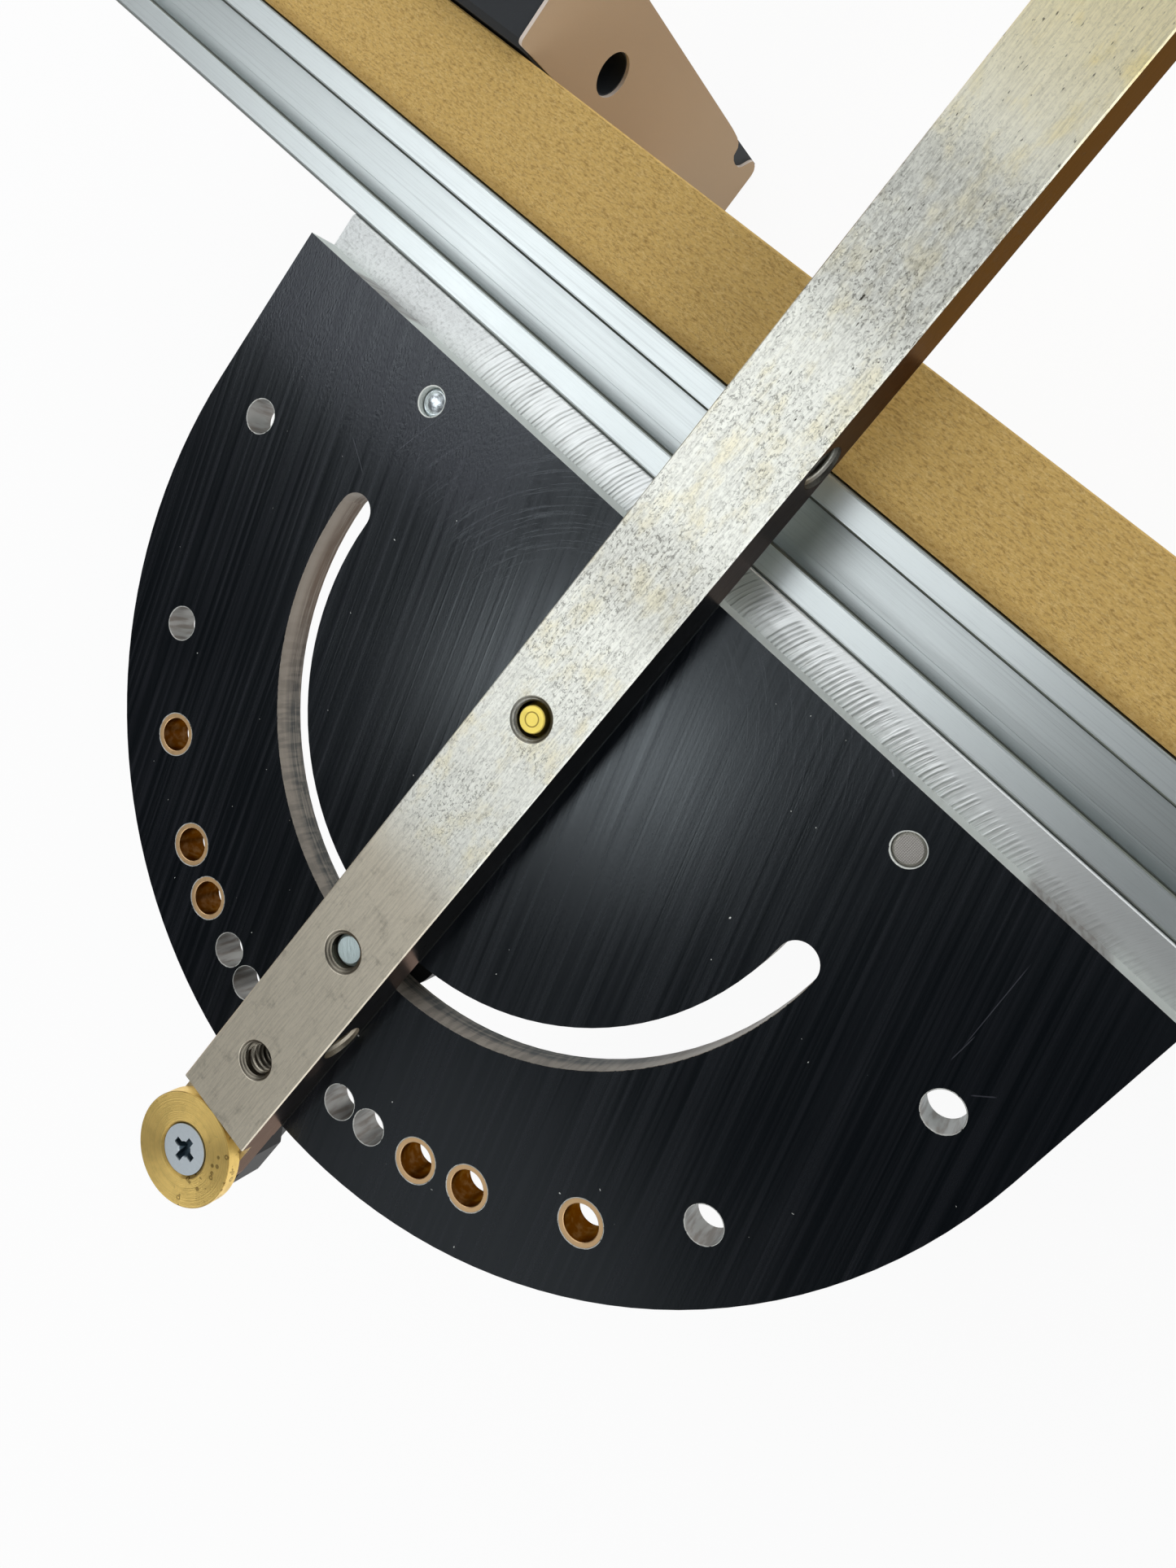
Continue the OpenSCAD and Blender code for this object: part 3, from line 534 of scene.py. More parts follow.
def steel_finish(colours):
    """Drawn steel with short dark pits in patches, warm stains, a smooth tongue end, painted shade in the
    hole mouths, in a band across the bar and on its sides, and a painted brown reflection of the board on
    the sides at the work end.
    """
    f = Finish("drawn_steel")
    at = f.place()
    x, y, z = f.parts(at)
    nx = f.facing()[0]
    worn = f.step(y, *TONGUE_TO_WORN)
    pitted = worn * (1.0 - 0.75 * f.step(y, *PITTED_TO_SMOOTH))
    patch = f.step(f.noise(at, 0.10, shift=4.0), 0.34, 0.60)
    rusty = f.within(y, *RUSTY_BAND)

    # Fine crooked pits all over, and a few long dark ones towards the work end
    curl = f.noise(at, 1.9, (1, 0.7, 1), detail=2.0, rough=0.6)
    broken = f.step(f.noise(at, 1.5, (1, 0.7, 1), shift=11.0, detail=2.0), 0.46, 0.60)
    cracks = f.within(curl, 0.5, 0.012, 0.07) * broken
    pocks = f.step(f.noise(at, 1.5, (1, 0.35, 1), shift=5.0, detail=2.0, rough=0.6), 0.66, 0.74)
    fine = f.step(f.noise(at, 4.0, (1, 0.35, 1), shift=7.0, detail=2.0), 0.48, 0.66)
    pits = cracks * pitted * (0.35 + 0.65 * patch) * 0.55 + pocks * f.step(y, *PLAIN_TO_POCKED) * 0.8
    grain = f.noise(at, 3.4, (1, 0.04, 1), detail=4.0, rough=0.7)
    blotch = f.noise(at, 0.22, (1, 0.6, 1), shift=2.0, detail=4.0, rough=0.6)

    # Warm stains and a smudged tongue end, and painted shade on the sides with a painted brown reflection of
    # the board towards the work end
    clean_end = f.step(y, *STAINED_TO_CLEAN)
    stained = f.step(y, *PLAIN_TO_STAINED) * (1.0 - 0.7 * clean_end)
    warm = f.step(blotch, 0.46, 0.70) * 0.36 * worn + stained * 0.75
    base = f.mix(warm, f.mix(worn, colours.steel_tail, colours.steel), colours.steel_stain)
    smudge = f.step(f.noise(at, 0.28, shift=9.0, detail=5.0, rough=0.7), 0.52, 0.74) * (1.0 - worn) * 0.3
    mottle = f.step(f.noise(at, 1.1, (1, 0.5, 1), shift=3.0, detail=4.0, rough=0.7), 0.36, 0.72)
    mottle = (0.16 + 0.20 * mottle) * rusty
    # Grain, fine marks, smudges and rust mottle, with a band of painted shade across the bar
    base = f.mix(f.step(grain, 0.40, 0.66) * 0.18 + fine * (0.07 + 0.09 * pitted) + smudge + mottle
                 + f.within(y, *PAINTED_SHADE_BAND) * 0.16, base, colours.steel_marks_and_shade)
    base = f.mix(pits, base, colours.steel_marks_and_shade)
    # The sides get painted shade, and towards the work end a painted brown reflection of the board
    side = f.step(abs(nx), 0.80, 0.95)
    dull = f.mix(f.step(-y, *SIDE_TO_TONGUE), colours.steel_side_shade, colours.steel_tail_side_shade)
    dull = f.mix(f.step(y, *SIDE_TO_BOARD_REFLECTION) * (1.0 - 0.7 * clean_end), dull, colours.steel_side_board_reflection)
    base = f.mix(side, base, f.mix(f.step(grain, 0.35, 0.75) * 0.3, dull, colours.steel_marks_and_shade))

    # Turned rings in the hole mouths, with painted shade in the mouths, deeper below them, and painted shade
    # in the threaded holes in the sides
    mouths = [f.within(f.round(x, y, hole), 0.0, MOUTH_R, 0.1) for hole in (PIVOT, CLAMP, OPEN_THREAD)]
    mouth = (mouths[0] + mouths[1] + mouths[2]) * (1.0 - f.step(z, BAR_TOP_Z - 0.12, BAR_TOP_Z - 0.02))
    deeper_shade = 1.0 - f.step(z, BAR_TOP_Z - 1.4, BAR_TOP_Z - 0.7)
    rings = f.wave(z, MOUTH_RING_PITCH)
    crest = f.within(f.round(x, y, OPEN_THREAD), 0.0, 2.75, 0.15)
    base = f.mix(mouth * (0.70 + 0.18 * rings + 0.08 * deeper_shade) * (1.0 - 0.75 * crest), base, colours.steel_marks_and_shade)
    reach = [f.round(y, z, (hole, BAR_MIDDLE_Z)) for hole in SIDE_HOLES_Y]
    front, rear = [1.0 - f.step(r, 4.03, 4.10) for r in reach]
    shade = front * (0.40 + 0.40 * f.step(reach[0], 3.45, 3.65)) + rear * 0.35
    base = f.mix(shade, base, colours.steel_marks_and_shade)
    rough = 0.40 + 0.08 * grain + 0.06 * blotch + 0.12 * pits - side * 0.18 - mouth * 0.08
    height = grain * 0.006 - fine * pitted * 0.006 - pits * 0.015 + rings * mouth * 0.03
    return f.shade(base, rough, 1.0, height, Specular_Tint=STEEL_TINT)


def plate_finish(colours):
    """Black coated plate with fine straight lines and scratches, a painted sheen on a leathery patch, bare
    cut walls and chipped hole rims.
    """
    f = Finish("coated_plate")
    at = f.place()
    x, y, z = f.parts(at)
    nz = f.facing()[2]
    r = f.round(x, y, PIVOT)
    turn = r.work("ARCTAN2", y, x)

    # Straight lines drawn into the plate before it was coated, softer rubs the same way, and a fine grain
    sine, cosine = LINES_LEAN
    across = x * cosine + y * sine
    along = x * -sine + y * cosine
    wiped = f.node("ShaderNodeCombineXYZ", None, {0: across, 1: along * 0.008, 2: 0.0})
    wiped_at = f.node("ShaderNodeCombineXYZ", None, {0: across * 2.6, 1: along * 1.1, 2: z})
    rubs = f.noise(wiped, 0.62, detail=4.0, rough=0.62)
    ripple = across * (1 / LINES_PITCH) + f.noise(wiped, 0.20, detail=2.0, shift=9.0) * 3.0
    brushed = f.within(ripple.work("FRACT", ripple), 0.5, 0.03, 0.20)
    kept = 0.4 + 0.6 * f.step(f.noise(at, 0.045, detail=2.0, shift=4.0), 0.36, 0.60)
    fine = f.noise(wiped, 3.0, detail=2.0, shift=5.0)
    cloud = f.noise(at, 0.05, detail=3.0, shift=8.0)
    # A leathery patch, which also gets a painted sheen
    leathery_and_sheen = f.step(y, *LEATHERY_SHEEN_Y) * (1.0 - f.step(x, *LEATHERY_SHEEN_X))
    brushed = brushed * kept * (1.0 - 0.6 * f.step(x, -8.0, 12.0)) * (1.0 - 0.8 * leathery_and_sheen)
    grain = f.noise(wiped_at, 1.0, detail=3.0, rough=0.6, shift=3.0)

    # Fine scratches on circles about the pivot, where chips have been dragged round beside the bar
    polar = f.node("ShaderNodeCombineXYZ", None, {0: r, 1: turn * 0.9, 2: 0.0})
    swirl = f.noise(polar, 2.6, detail=3.0, rough=0.7)
    dragged = f.within(r, *DRAGGED_R) * (
        f.within(turn, *DRAGGED_LEFT) + 0.4 * f.within(turn, *DRAGGED_RIGHT))
    swirls = f.step(swirl, 0.54, 0.68) * dragged
    marks = sum(f.scratch(x, y, *line) for line in SCRATCHES)
    specks = f.step(f.noise(at, 0.9, shift=2.0, detail=2.0), 0.785, 0.795)

    # Bare metal on every cut wall, on chipped rims of the slot and the holes, and in small specks
    flat = f.step(abs(nz), 0.90, 0.97)
    chip = f.noise(at, 1.3, detail=3.0, rough=0.7, shift=1.0)
    rim = f.within(r, SLOT_WALLS_R[1], 0.0, 0.22) * f.step(-y, 0.0, 0.5)
    burr = f.within(f.round(abs(x), y, BRACKET_SCREWS[1]), SCREW_RIM_R, 0.02, 0.16) * 1.2
    for radius, angles in (PLAIN_HOLES, BUSHED_HOLES):
        for angle in angles:
            bearing = math.radians(angle)
            hole = (INDEX_R * math.sin(bearing), -INDEX_R * math.cos(bearing))
            burr = burr + f.within(f.round(abs(x), y, hole), radius, 0.04, 0.12)
    worn_rim = f.step((rim + burr) * chip, 0.30, 0.46)
    bare = 1.0 - flat * (1.0 - worn_rim) * (1.0 - specks)

    # Milled slot walls, darker towards the bottom, and reamed hole walls
    low = 1.0 - f.step(z, -4.6, -1.8)
    streak = f.noise(at, 0.9, (1, 1, 0.16), detail=3.0, shift=6.0)
    in_slot = f.within(r, sum(SLOT_WALLS_R) / 2, 4.5, 1.0) * (1.0 - f.step(y, 6.0, 10.0))
    in_hole = f.step(r, *INDEX_RING_IN) * (1.0 - f.step(r, *INDEX_RING_OUT)) * (1.0 - flat)
    arc_at = f.node("ShaderNodeCombineXYZ", None, {0: turn * 4.0, 1: z * 1.6, 2: r * 0.2})
    drawn = f.noise(arc_at, 1.0, detail=4.0, rough=0.7, shift=6.0)
    chatter = f.step(-y, 20.0, 45.0) * f.step(streak, 0.42, 0.62) * 0.35
    slot_darkening = (0.12 + 0.78 * low) * f.step(drawn, 0.25, 0.58) + chatter
    slot_dark_tones = f.mix(f.step(-y, 15.0, 45.0), colours.bare_dark, colours.slot_shade)
    metal = f.mix(in_hole, f.mix(in_slot, colours.bare, f.mix(slot_darkening * 0.9, colours.slot_wall, slot_dark_tones)),
                  f.mix(f.step(streak, 0.4, 0.65) * 0.5, colours.hole_wall, colours.bare_dark))

    # The coating with its rubs, a painted sheen on the leathery patch, swirls and scratches, and how it
    # meets the bare metal
    rubbed_and_sheen = f.step(rubs, 0.40, 0.72) * 0.12 + f.step(fine, 0.5, 0.8) * 0.08 + leathery_and_sheen * 0.5
    coat = f.mix(rubbed_and_sheen, colours.plate, colours.plate_rub_and_sheen)
    coat = f.mix(swirls * 0.16 + marks * 0.4 + brushed * 0.08, coat, colours.plate_scratch)
    base = f.mix(bare, coat, metal)
    streaks = f.step(rubs, 0.36, 0.64)
    rough_coat = 0.13 + 0.07 * streaks + 0.05 * grain + 0.05 * cloud + swirls * 0.05 + 0.05 * fine
    rough = rough_coat * (1.0 - bare) + (0.36 + 0.2 * streak) * bare
    height = (grain * (0.006 + 0.05 * leathery_and_sheen) + fine * 0.005 + rubs * 0.013 + swirls * 0.006
              - marks * 0.01 + brushed * 0.007)
    return f.shade(base, rough, bare * 0.65, height, Specular_IOR_Level=0.5, Specular_Tint=PLATE_TINT)


def milled_finish(colours, sizes):
    """Fly-cut aluminium: curved feed marks, hatched by a second pass at its left end."""
    f = Finish("fly_cut_aluminium")
    at = f.place()
    x, y = f.parts(at)[:2]
    radius, centre, pitch = (s / MM for s in (sizes.cut_radius, sizes.cut_centre, sizes.cut_pitch))
    dy = y - centre
    bow = (radius * radius - dy * dy) ** 0.5
    waver = f.noise(at, 0.30, detail=2.0) * 0.4
    marks = f.wave(x + bow + waver, pitch)
    arc_at = f.node("ShaderNodeCombineXYZ", None, {0: x + bow, 1: y * 0.06, 2: 0.0})
    uneven = f.noise(arc_at, 0.9, detail=3.0, rough=0.6, shift=3.0)
    strength = f.step(uneven, 0.34, 0.58) * (1.0 - 0.8 * f.step(x, *FADING_X))
    strength = strength * (1.0 - 0.9 * f.step(y + x * 0.05, 40.2, 41.4))
    hatched = 1.0 - f.step(x, *HATCHED_X)
    hatch = f.noise(at, 1.1, (1, 1.3, 1), detail=3.0, rough=0.65, shift=8.0)
    fine = f.noise(arc_at, 5.0, detail=2.0, shift=6.0)
    lines = f.step(marks, 0.45, 0.95) * strength * (1.0 - hatched)
    dark = lines * 0.60 + hatched * f.step(hatch, 0.46, 0.72) * 0.32 + f.step(fine, 0.45, 0.8) * 0.20
    base = f.mix(dark, colours.milled, colours.milled_dark)
    rough = 0.36 + 0.12 * fine + 0.08 * hatched
    height = ((marks * 0.035 + uneven * 0.05) * strength * (1.0 - hatched) + hatch * 0.09 * hatched
              + fine * 0.006)
    return f.shade(base, rough, 1.0, height)


def rail_finish(colours):
    """Clear coated extrusion, with die lines along its length."""
    f = Finish("coated_extrusion")
    at = f.place()
    y, z = f.parts(at)[1:]
    ny = f.facing()[1]
    lines = f.noise(at, 2.4, (0.004, 1, 1), detail=4.0, rough=0.65)
    fine = f.noise(at, 7.0, (0.03, 1, 1), detail=2.0, shift=4.0)
    cloud = f.noise(at, 0.05, detail=3.0, shift=2.0)
    # Painted shade on the edges of the T-slot's lips and of the outer face
    lips = f.within(y, RAIL_MIDDLE_Y, 5.6, 0.2) * f.step(z, *RAIL_LIP_Z) + f.step(z, *RAIL_FACE_Z)
    edge = f.step(abs(ny), 0.25, 0.60) * lips
    dark = f.step(lines, 0.50, 0.70) * 0.20 + f.step(fine, 0.5, 0.8) * 0.14
    base = f.mix(edge * 0.85, f.mix(dark, colours.rail, colours.rail_dark), colours.rail_edge)
    rough = 0.29 + 0.08 * lines + 0.06 * cloud
    height = lines * 0.007 + fine * 0.003
    return f.shade(base, rough, 0.9, height)


def board_finish(colours):
    """Raw fibreboard: short fibres, pale and dark, on the cut edges and faces, and painted shade where it
    meets the rail.
    """
    f = Finish("fibreboard")
    at = f.place()
    y = f.parts(at)[1]
    nz = f.facing()[2]
    cut = f.step(abs(nz), 0.5, 0.9)
    fibre = f.noise(at, 2.6, (0.3, 1, 1), detail=5.0, rough=0.85)
    fleck = f.noise(at, 3.2, (0.35, 1, 1), detail=5.0, rough=0.8, shift=5.0)
    cloud = f.noise(at, 0.06, detail=3.0, shift=1.0)
    layer = f.noise(at, 0.35, (0.03, 1, 1), detail=2.0, shift=2.0)
    strength = 0.35 + 0.65 * cut
    dark = f.step(fibre, 0.46, 0.64) * 0.70 * strength + f.step(layer, 0.5, 0.8) * 0.10 + cloud * 0.08
    pale = f.step(fleck, 0.48, 0.64) * 0.55 * strength
    base = f.mix(pale, f.mix(dark, colours.board, colours.board_dark), colours.board_light)
    # Painted shade along the board's edge by the rail
    edge = f.within(y, BOARD_EDGE_Y, 0.5, 2.4) * cut
    base = f.mix(edge * 0.4, base, colours.board_dark)
    height = fibre * 0.06 * strength + fleck * 0.03
    return f.shade(base, 0.82 - pale * 0.1, 0.0, height, Specular_IOR_Level=0.3)


def turned_finish(name, centre, clean, dirt_and_shade, spots=0.0, wear=1.0, mark=None):
    """Turned brass with fine rings about an upright axis, dark spots on its right, painted shade on its
    sloped faces, and a mark on its end.
    """
    f = Finish(name)
    at = f.place()
    x, y, z = f.parts(at)
    nz = f.facing()[2]
    r = f.round(x, y, centre)
    rings_at = f.node("ShaderNodeCombineXYZ", None, {0: r, 1: 0.0, 2: z * 0.2})
    rings = f.noise(rings_at, 3.2, detail=4.0, rough=0.75)
    cloud = f.noise(at, 0.5, detail=3.0, shift=2.0)
    cell = f.node("ShaderNodeTexVoronoi", None, {"Vector": at, "Scale": 0.62})
    spotted = f.step(f.noise(at, 0.30, shift=1.0), 0.42, 0.50) * f.step(x, 2.0, 6.0) * spots
    ring_spot = f.within(cell, 0.24, 0.05, 0.07) * spotted
    # Painted shade on sloped faces
    sloped_shade = (1.0 - f.step(nz, 0.80, 0.97)) * f.step(nz, 0.1, 0.3)
    dark = ((f.step(cloud, 0.4, 0.75) * 0.14 + f.step(rings, 0.4, 0.7) * 0.22) * wear + ring_spot * 0.6
            + sloped_shade * 0.5)
    if mark:
        dark = dark + f.within(r, mark, 0.05, 0.14) * 0.7
    base = f.mix(dark, clean, dirt_and_shade)
    return f.shade(base, 0.32 + 0.12 * rings + 0.08 * cloud, 1.0, rings * 0.12 * wear - ring_spot * 0.01,
                   Anisotropic=0.5 * wear, Anisotropic_Rotation=0.25)


def bronze_finish(colours):
    """Bushes: a bright cut face and a darker brown bore."""
    f = Finish("plain_bronze")
    at = f.place()
    nz = f.facing()[2]
    face = f.step(nz, 0.4, 0.9)
    cloud = f.noise(at, 0.8, detail=3.0)
    lines = f.noise(at, 4.0, (1, 1, 0.12), detail=2.0, shift=3.0)
    bore = f.mix(f.step(cloud, 0.40, 0.75) * 0.10, colours.bronze_bore, colours.bronze)
    base = f.mix(face, bore, colours.bronze)
    return f.shade(base, 0.30 + 0.16 * cloud + 0.10 * lines, 1.0, lines * 0.006, Specular_Tint=BRONZE_TINT)


def plain_metal(name, colour, dark, rough):
    """Plated or ground metal with a fine grain."""
    f = Finish(name)
    at = f.place()
    grain = f.noise(at, 5.0, (1, 0.5, 1), detail=3.0, rough=0.65)
    cloud = f.noise(at, 0.6, detail=3.0, shift=4.0)
    base = f.mix(f.step(grain, 0.45, 0.75) * 0.25 + cloud * 0.14, colour, dark)
    return f.shade(base, rough + 0.12 * grain + 0.1 * cloud, 1.0, grain * 0.006)


def cross_head_finish(colours, top):
    """Zinc plate with a shaded cross recess below the head's top, in millimetres."""
    f = Finish("cross_head_zinc")
    at = f.place()
    z = f.parts(at)[2]
    cloud = f.noise(at, 1.2, detail=3.0, shift=4.0)
    sunk = 1.0 - f.step(z, top - 0.5, top - 0.05)
    base = f.mix(sunk * 0.85 + cloud * 0.15, colours.zinc, colours.recess)
    return f.shade(base, 0.42 + 0.1 * cloud, 1.0, cloud * 0.01)


def stud_end_finish(colours):
    """Zinc plate with file marks across the stud's end."""
    f = Finish("filed_zinc")
    at = f.place()
    x, y, z = f.parts(at)
    marks_at = f.node("ShaderNodeCombineXYZ", None, {0: (x + y) * 2.2, 1: (x - y) * 0.25, 2: z})
    marks = f.noise(marks_at, 1.0, detail=4.0, rough=0.7)
    base = f.mix(f.step(marks, 0.5, 0.75) * 0.2, colours.stud_end, colours.steel_marks_and_shade)
    return f.shade(base, 0.46 + 0.15 * marks, 1.0, marks * 0.16)


def screw_end_finish(colours):
    """Bracket screws: the right one's end is knurled and dull, the left one's is rounded and bright."""
    f = Finish("screw_ends")
    at = f.place()
    x, y = f.parts(at)[:2]
    right = f.step(x, -1.0, 1.0)
    r = f.round(abs(x), y, BRACKET_SCREWS[1])
    knurl = 2 * math.pi / KNURL_PITCH
    u, v = (x + y) * knurl, (x - y) * knurl
    diamonds = u.work("SINE", u) * u.work("SINE", v) * 0.5 + 0.5
    swirl = f.noise(at, 0.9, shift=3.0, detail=3.0, rough=0.6)
    rim = f.step(r, 2.1, 2.35)
    dull = f.mix(diamonds * 0.5 * (1.0 - rim), colours.screw_end, colours.steel_marks_and_shade)
    bright = f.mix(f.step(swirl, 0.45, 0.7) * 0.35, colours.zinc, colours.steel_marks_and_shade)
    height = diamonds * right * 0.04 + swirl * 0.10 * (1.0 - right)
    return f.shade(f.mix(right, bright, dull), 0.24 + 0.2 * right + 0.1 * swirl, 1.0, height)


def moulded_finish(name, colour, rough, grain_scale, depth):
    """Black plastic or coating with a fine even grain."""
    f = Finish(name)
    at = f.place()
    grain = f.noise(at, grain_scale, detail=2.0)
    cloud = f.noise(at, 0.12, detail=3.0, shift=3.0)
    pale = tuple(min(1.0, c * 2.2 + 0.006) for c in colour)
    base = f.mix(f.step(grain, 0.5, 0.8) * 0.2 + cloud * 0.2, colour, pale)
    return f.shade(base, rough + 0.12 * grain + 0.06 * cloud, 0.0, grain * depth, Specular_IOR_Level=0.3)


def tan_finish(colours):
    """Tan plate, with a pale line where its edges were cut."""
    f = Finish("tan_sheet")
    at = f.place()
    nx = f.facing()[0]
    face = f.step(abs(nx), 0.7, 0.95)
    grain = f.noise(at, 4.5, detail=2.0)
    cloud = f.noise(at, 0.08, detail=3.0, shift=5.0)
    pale = tuple(min(1.0, c * 1.18) for c in colours.tan)
    base = f.mix(f.step(grain, 0.45, 0.75) * 0.25 + cloud * 0.25, colours.tan, pale)
    base = f.mix(1.0 - face, base, colours.tan_edge)
    return f.shade(base, 0.52 + 0.1 * grain, 0.0, grain * 0.01, Specular_IOR_Level=0.4)


class JIG_OT_guide_bar(bpy.types.Operator):
    """Give the guide bar its drawn steel"""
    bl_idname = "jig.guide_bar"
    bl_label = "Guide bar"

    def execute(self, context):
        give(steel_finish(context.scene.jig_colours), "guide_bar")
        return {"FINISHED"}


class JIG_OT_bar_threads(bpy.types.Operator):
    """Cut the screw threads that show in the bar's open holes"""
    bl_idname = "jig.bar_threads"
    bl_label = "Bar threads"

    def execute(self, context):
        sizes = context.scene.jig_sizes
        finish = finish_of("guide_bar")
        low, high = OPEN_RIDGE_Z
        pieces = [thread_ridge("bar_thread_ridge", [v * MM for v in (*OPEN_THREAD, low)], along=(0, 0, 1),
                               out=(1, 0, 0), bore=OPEN_BORE_R * MM, height=sizes.bar_thread,
                               pitch=sizes.bar_pitch, run=(high - low) * MM)]
        inner, outer = SIDE_RIDGE_X
        for label, y in zip(("front", "rear"), SIDE_HOLES_Y):
            pieces.append(thread_ridge(f"side_thread_{label}", [v * MM for v in (inner, y, BAR_MIDDLE_Z)],
                                       along=(1, 0, 0), out=(0, 0, 1), bore=SIDE_BORE_R * MM,
                                       height=sizes.side_thread, pitch=sizes.side_pitch,
                                       run=(outer - inner) * MM))
        for piece in pieces:
            piece.data.materials.append(finish)
            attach(piece, "bar")
        return {"FINISHED"}


class JIG_OT_screw_crown(bpy.types.Operator):
    """Round the end of the left bracket screw"""
    bl_idname = "jig.screw_crown"
    bl_label = "Screw crown"

    def execute(self, context):
        finish = finish_of("bracket_screws")
        sizes = context.scene.jig_sizes
        rings, sides = 6, 32
        centre = Vector((*BRACKET_SCREWS[0], LEFT_SCREW_END_Z)) * MM
        verts = [centre + Vector((0, 0, sizes.crown_rise))]
        for k in range(1, rings + 1):
            share = k / rings
            rise = sizes.crown_rise * (1 - share * share)
            verts += [centre + Vector((x, y, rise)) for x, y in circle(sizes.crown_radius * share, sides)]
        faces = disc_faces(rings, sides)
        faces.append(tuple(1 + (rings - 1) * sides + i for i in range(sides)))
        crown = mesh_piece("screw_crown", verts, faces, sharp_angle=math.radians(40))
        crown.data.materials.append(finish)
        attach(crown, "head")
        return {"FINISHED"}


class JIG_OT_brass_parts(bpy.types.Operator):
    """Give the slot washer, the pivot stud and the handle's insert their turned brass"""
    bl_idname = "jig.brass_parts"
    bl_label = "Brass parts"

    def execute(self, context):
        c = context.scene.jig_colours
        give(turned_finish("washer_brass", WASHER, c.brass, c.brass_dirt_and_shade, spots=1.0), "slot_washer")
        give(turned_finish("pivot_brass", PIVOT, c.brass_end, c.brass_dirt_and_shade, wear=0.25, mark=1.25),
             "pivot_stud")
        give(turned_finish("insert_brass", CLAMP, c.brass, c.brass_dirt_and_shade), "handle_insert")
        return {"FINISHED"}


class JIG_OT_head_plate(bpy.types.Operator):
    """Give the head plate its worn black coating and bare cut walls"""
    bl_idname = "jig.head_plate"
    bl_label = "Head plate"

    def execute(self, context):
        give(plate_finish(context.scene.jig_colours), "head_plate")
        return {"FINISHED"}


class JIG_OT_bushes(bpy.types.Operator):
    """Give the index bushes and the pivot bush their bronze"""
    bl_idname = "jig.bushes"
    bl_label = "Bushes"

    def execute(self, context):
        give(bronze_finish(context.scene.jig_colours), "index_bushes", "pivot_bush")
        return {"FINISHED"}


class JIG_OT_fence(bpy.types.Operator):
    """Give the bracket, the rail and the face board their finishes"""
    bl_idname = "jig.fence"
    bl_label = "Fence"

    def execute(self, context):
        c = context.scene.jig_colours
        give(milled_finish(c, context.scene.jig_sizes), "fence_bracket")
        give(rail_finish(c), "fence_rail")
        give(board_finish(c), "face_board")
        return {"FINISHED"}


class JIG_OT_stop(bpy.types.Operator):
    """Give the stop's plate and body their finishes"""
    bl_idname = "jig.stop"
    bl_label = "Stop"

    def execute(self, context):
        c = context.scene.jig_colours
        give(tan_finish(c), "stop_plate")
        give(moulded_finish("stop_moulding", tuple(c.stop), rough=0.5, grain_scale=3.0, depth=0.02),
             "stop_body")
        return {"FINISHED"}


class JIG_OT_black_parts(bpy.types.Operator):
    """Give the handle, its washer, the pull knob and the index arm their black finishes"""
    bl_idname = "jig.black_parts"
    bl_label = "Black parts"

    def execute(self, context):
        c = context.scene.jig_colours
        give(moulded_finish("handle_moulding", tuple(c.plastic), rough=0.38, grain_scale=2.2, depth=0.02),
             "clamp_handle", "clamp_washer", "plunger_knob")
        give(moulded_finish("arm_coating", tuple(c.arm), rough=0.42, grain_scale=5.0, depth=0.006),
             "index_arm")
        return {"FINISHED"}


class JIG_OT_fasteners(bpy.types.Operator):
    """Give the screws, studs and turned steel parts their finishes"""
    bl_idname = "jig.fasteners"
    bl_label = "Fasteners"

    def execute(self, context):
        c = context.scene.jig_colours
        head_top = max(corner[2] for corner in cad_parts["washer_screw"].bound_box)
        give(cross_head_finish(c, head_top / MM), "washer_screw")
        give(stud_end_finish(c), "clamp_stud")
        give(screw_end_finish(c), "bracket_screws")
        give(plain_metal("zinc_plate", c.zinc, METAL_DIRT, rough=0.30), "plunger_sleeve", "side_sleeves",
             "fence_bolts", "board_screws", "stop_bolts")
        give(plain_metal("bright_steel", c.bright, METAL_DIRT, rough=0.24), "arm_dowels", "index_plunger",
             "pivot_washer", "side_nose_front", "side_nose_rear", "fence_t_nuts", "board_t_nuts",
             "stop_t_nuts")
        return {"FINISHED"}


class JIG_OT_springs(bpy.types.Operator):
    """Wind the springs"""
    bl_idname = "jig.springs"
    bl_label = "Springs"

    def execute(self, context):
        finish = finish_of("index_plunger")
        for name, node, body, axis, moving, turns, wire in SPRINGS:
            piece = wound_spring(name, node, axis, wire * MM, turns)
            piece.data.materials.append(finish)
            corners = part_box(node)
            ends = [(corners[0] + corners[1]) / 2 for _ in range(2)]
            ends[0][axis], ends[1][axis] = corners[1 - moving][axis], corners[moving][axis]
            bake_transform(piece)
            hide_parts(node)
        return {"FINISHED"}


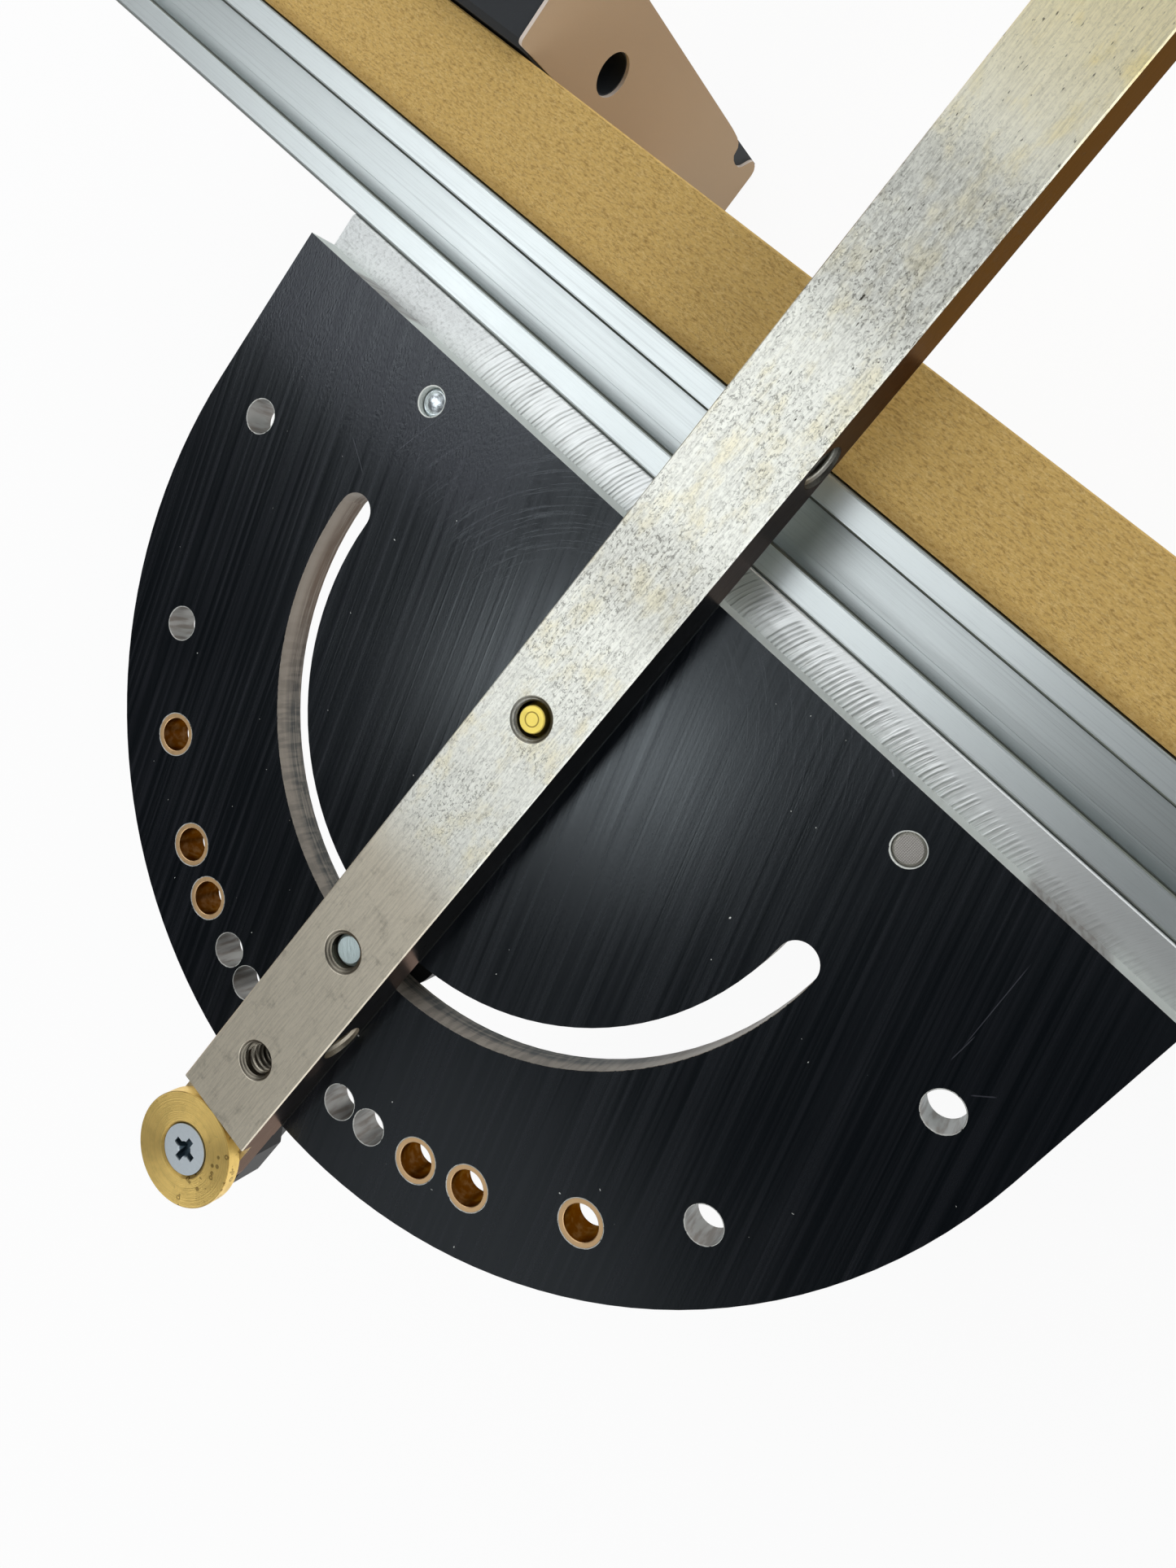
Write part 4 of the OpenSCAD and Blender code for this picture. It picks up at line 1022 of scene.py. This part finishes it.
class JIG_OT_stage(bpy.types.Operator):
    """Set the floor, the lamps and the camera"""
    bl_idname = "jig.stage"
    bl_label = "Stage"

    def execute(self, context):
        scene = context.scene
        scene.view_settings.view_transform = "Standard"
        self.floor(scene)
        self.light(scene)
        self.camera(scene)
        return {"FINISHED"}

    def floor(self, scene):
        """A round pale floor, white where it is the background."""
        rings, sides = (0.05, 0.2, 1.0), 48
        verts = [(0.0, 0.0, FLOOR_Z)]
        for share in rings:
            verts += [(x, y, FLOOR_Z) for x, y in circle(scene.jig_sizes.floor_reach * share, sides)]
        faces = disc_faces(len(rings), sides)
        floor = mesh_piece("stage_floor", verts, faces, sharp_angle=math.pi)
        f = Finish("pale_floor")
        colour = (*scene.jig_colours.floor, 1.0)
        lit = f.node("ShaderNodeBsdfDiffuse", None, {"Color": colour})
        glow = f.node("ShaderNodeEmission", None, {"Color": WHITE, "Strength": 1.0})
        seen = self.background_rays(f)
        f.show(f.node("ShaderNodeMixShader", None, {0: seen * FLOOR_GLOW, 1: lit, 2: glow}))
        floor.data.materials.append(f.data)

    def background_rays(self, f, mirrored=1.0):
        """1 for the rays that show the background: the camera's, and a share of those in metal and glass."""
        names = ("Is Camera Ray", "Is Glossy Ray", "Is Transmission Ray")
        rays = [f.node("ShaderNodeLightPath", output=name) for name in names]
        return rays[0].work("MINIMUM", rays[0] + (rays[1] + rays[2]) * mirrored, 1.0)

    def light(self, scene):
        """The room and the lamps."""
        sizes = scene.jig_sizes
        world = bpy.data.worlds.new("soft_room")
        scene.world = world
        f = Finish("soft_room", "ShaderNodeOutputWorld", world)

        # Even light from all round, one dark corner and a dim ceiling, in front of a white background
        east, north, height = f.parts(f.node("ShaderNodeTexCoord", output="Generated"))
        dark_corner = f.step(east * -0.85 + north * -0.53, 0.56, 0.66)
        lit = (1.0 - f.step(height, 0.47, 0.70)) * (1.0 - dark_corner)
        strength = sizes.ceiling + lit * (sizes.walls - sizes.ceiling)
        room = f.node("ShaderNodeBackground", None,
                      {"Color": (*scene.jig_colours.light, 1.0), "Strength": strength})
        white = f.node("ShaderNodeBackground", None, {"Color": WHITE, "Strength": 1.0})
        skyline = 1.0 - f.step(height, 0.10, 0.35)
        seen = self.background_rays(f, skyline)
        f.show(f.node("ShaderNodeMixShader", None, {0: seen, 1: room, 2: white}))

        for name, place, size, share in LAMPS:
            lamp = bpy.data.lights.new(name, "AREA")
            lamp.shape = "RECTANGLE"
            lamp.size, lamp.size_y = size
            lamp.energy = sizes.lamp * share * math.pi * size[0] * size[1]
            lamp.color = scene.jig_colours.light
            piece = bpy.data.objects.new(name, lamp)
            piece.location = (*place, LAMP_Z)
            scene.collection.objects.link(piece)

    def camera(self, scene):
        """The photograph's view."""
        data = bpy.data.cameras.new("view")
        data.sensor_fit = "VERTICAL"
        data.sensor_height = FILM_HEIGHT
        data.lens = LENS
        data.shift_y = LENS_DROP
        data.clip_start = MM
        turn = Matrix((VIEW_RIGHT, VIEW_UP, VIEW_BACK)).transposed().to_4x4()
        piece = bpy.data.objects.new("view", data)
        piece.matrix_world = Matrix.Translation(VIEW_FROM) @ turn
        scene.collection.objects.link(piece)
        scene.camera = piece


OPERATORS = (JIG_OT_guide_bar, JIG_OT_bar_threads, JIG_OT_brass_parts, JIG_OT_head_plate, JIG_OT_bushes,
             JIG_OT_fence, JIG_OT_stop, JIG_OT_black_parts, JIG_OT_fasteners, JIG_OT_screw_crown,
             JIG_OT_springs, JIG_OT_stage)


class JIG_PT_pieces(bpy.types.Panel):
    """The jig's pieces, sizes and colours"""
    bl_idname = "JIG_PT_pieces"
    bl_label = "Angle jig"
    bl_space_type = "VIEW_3D"
    bl_region_type = "UI"
    bl_category = "Jig"

    def draw(self, context):
        for operator in OPERATORS:
            self.layout.operator(operator.bl_idname)
        for group in (context.scene.jig_sizes, context.scene.jig_colours):
            for name in group.__annotations__:
                self.layout.prop(group, name)


CLASSES = (JigColours, JigSizes, *OPERATORS, JIG_PT_pieces)


def register():
    for cls in CLASSES:
        bpy.utils.register_class(cls)
    bpy.types.Scene.jig_colours = PointerProperty(type=JigColours)
    bpy.types.Scene.jig_sizes = PointerProperty(type=JigSizes)


def unregister():
    del bpy.types.Scene.jig_sizes
    del bpy.types.Scene.jig_colours
    for cls in reversed(CLASSES):
        bpy.utils.unregister_class(cls)


def main():
    register()
    for operator in OPERATORS:
        group, name = operator.bl_idname.split(".")
        getattr(getattr(bpy.ops, group), name)()


if __name__ == "__main__":
    main()
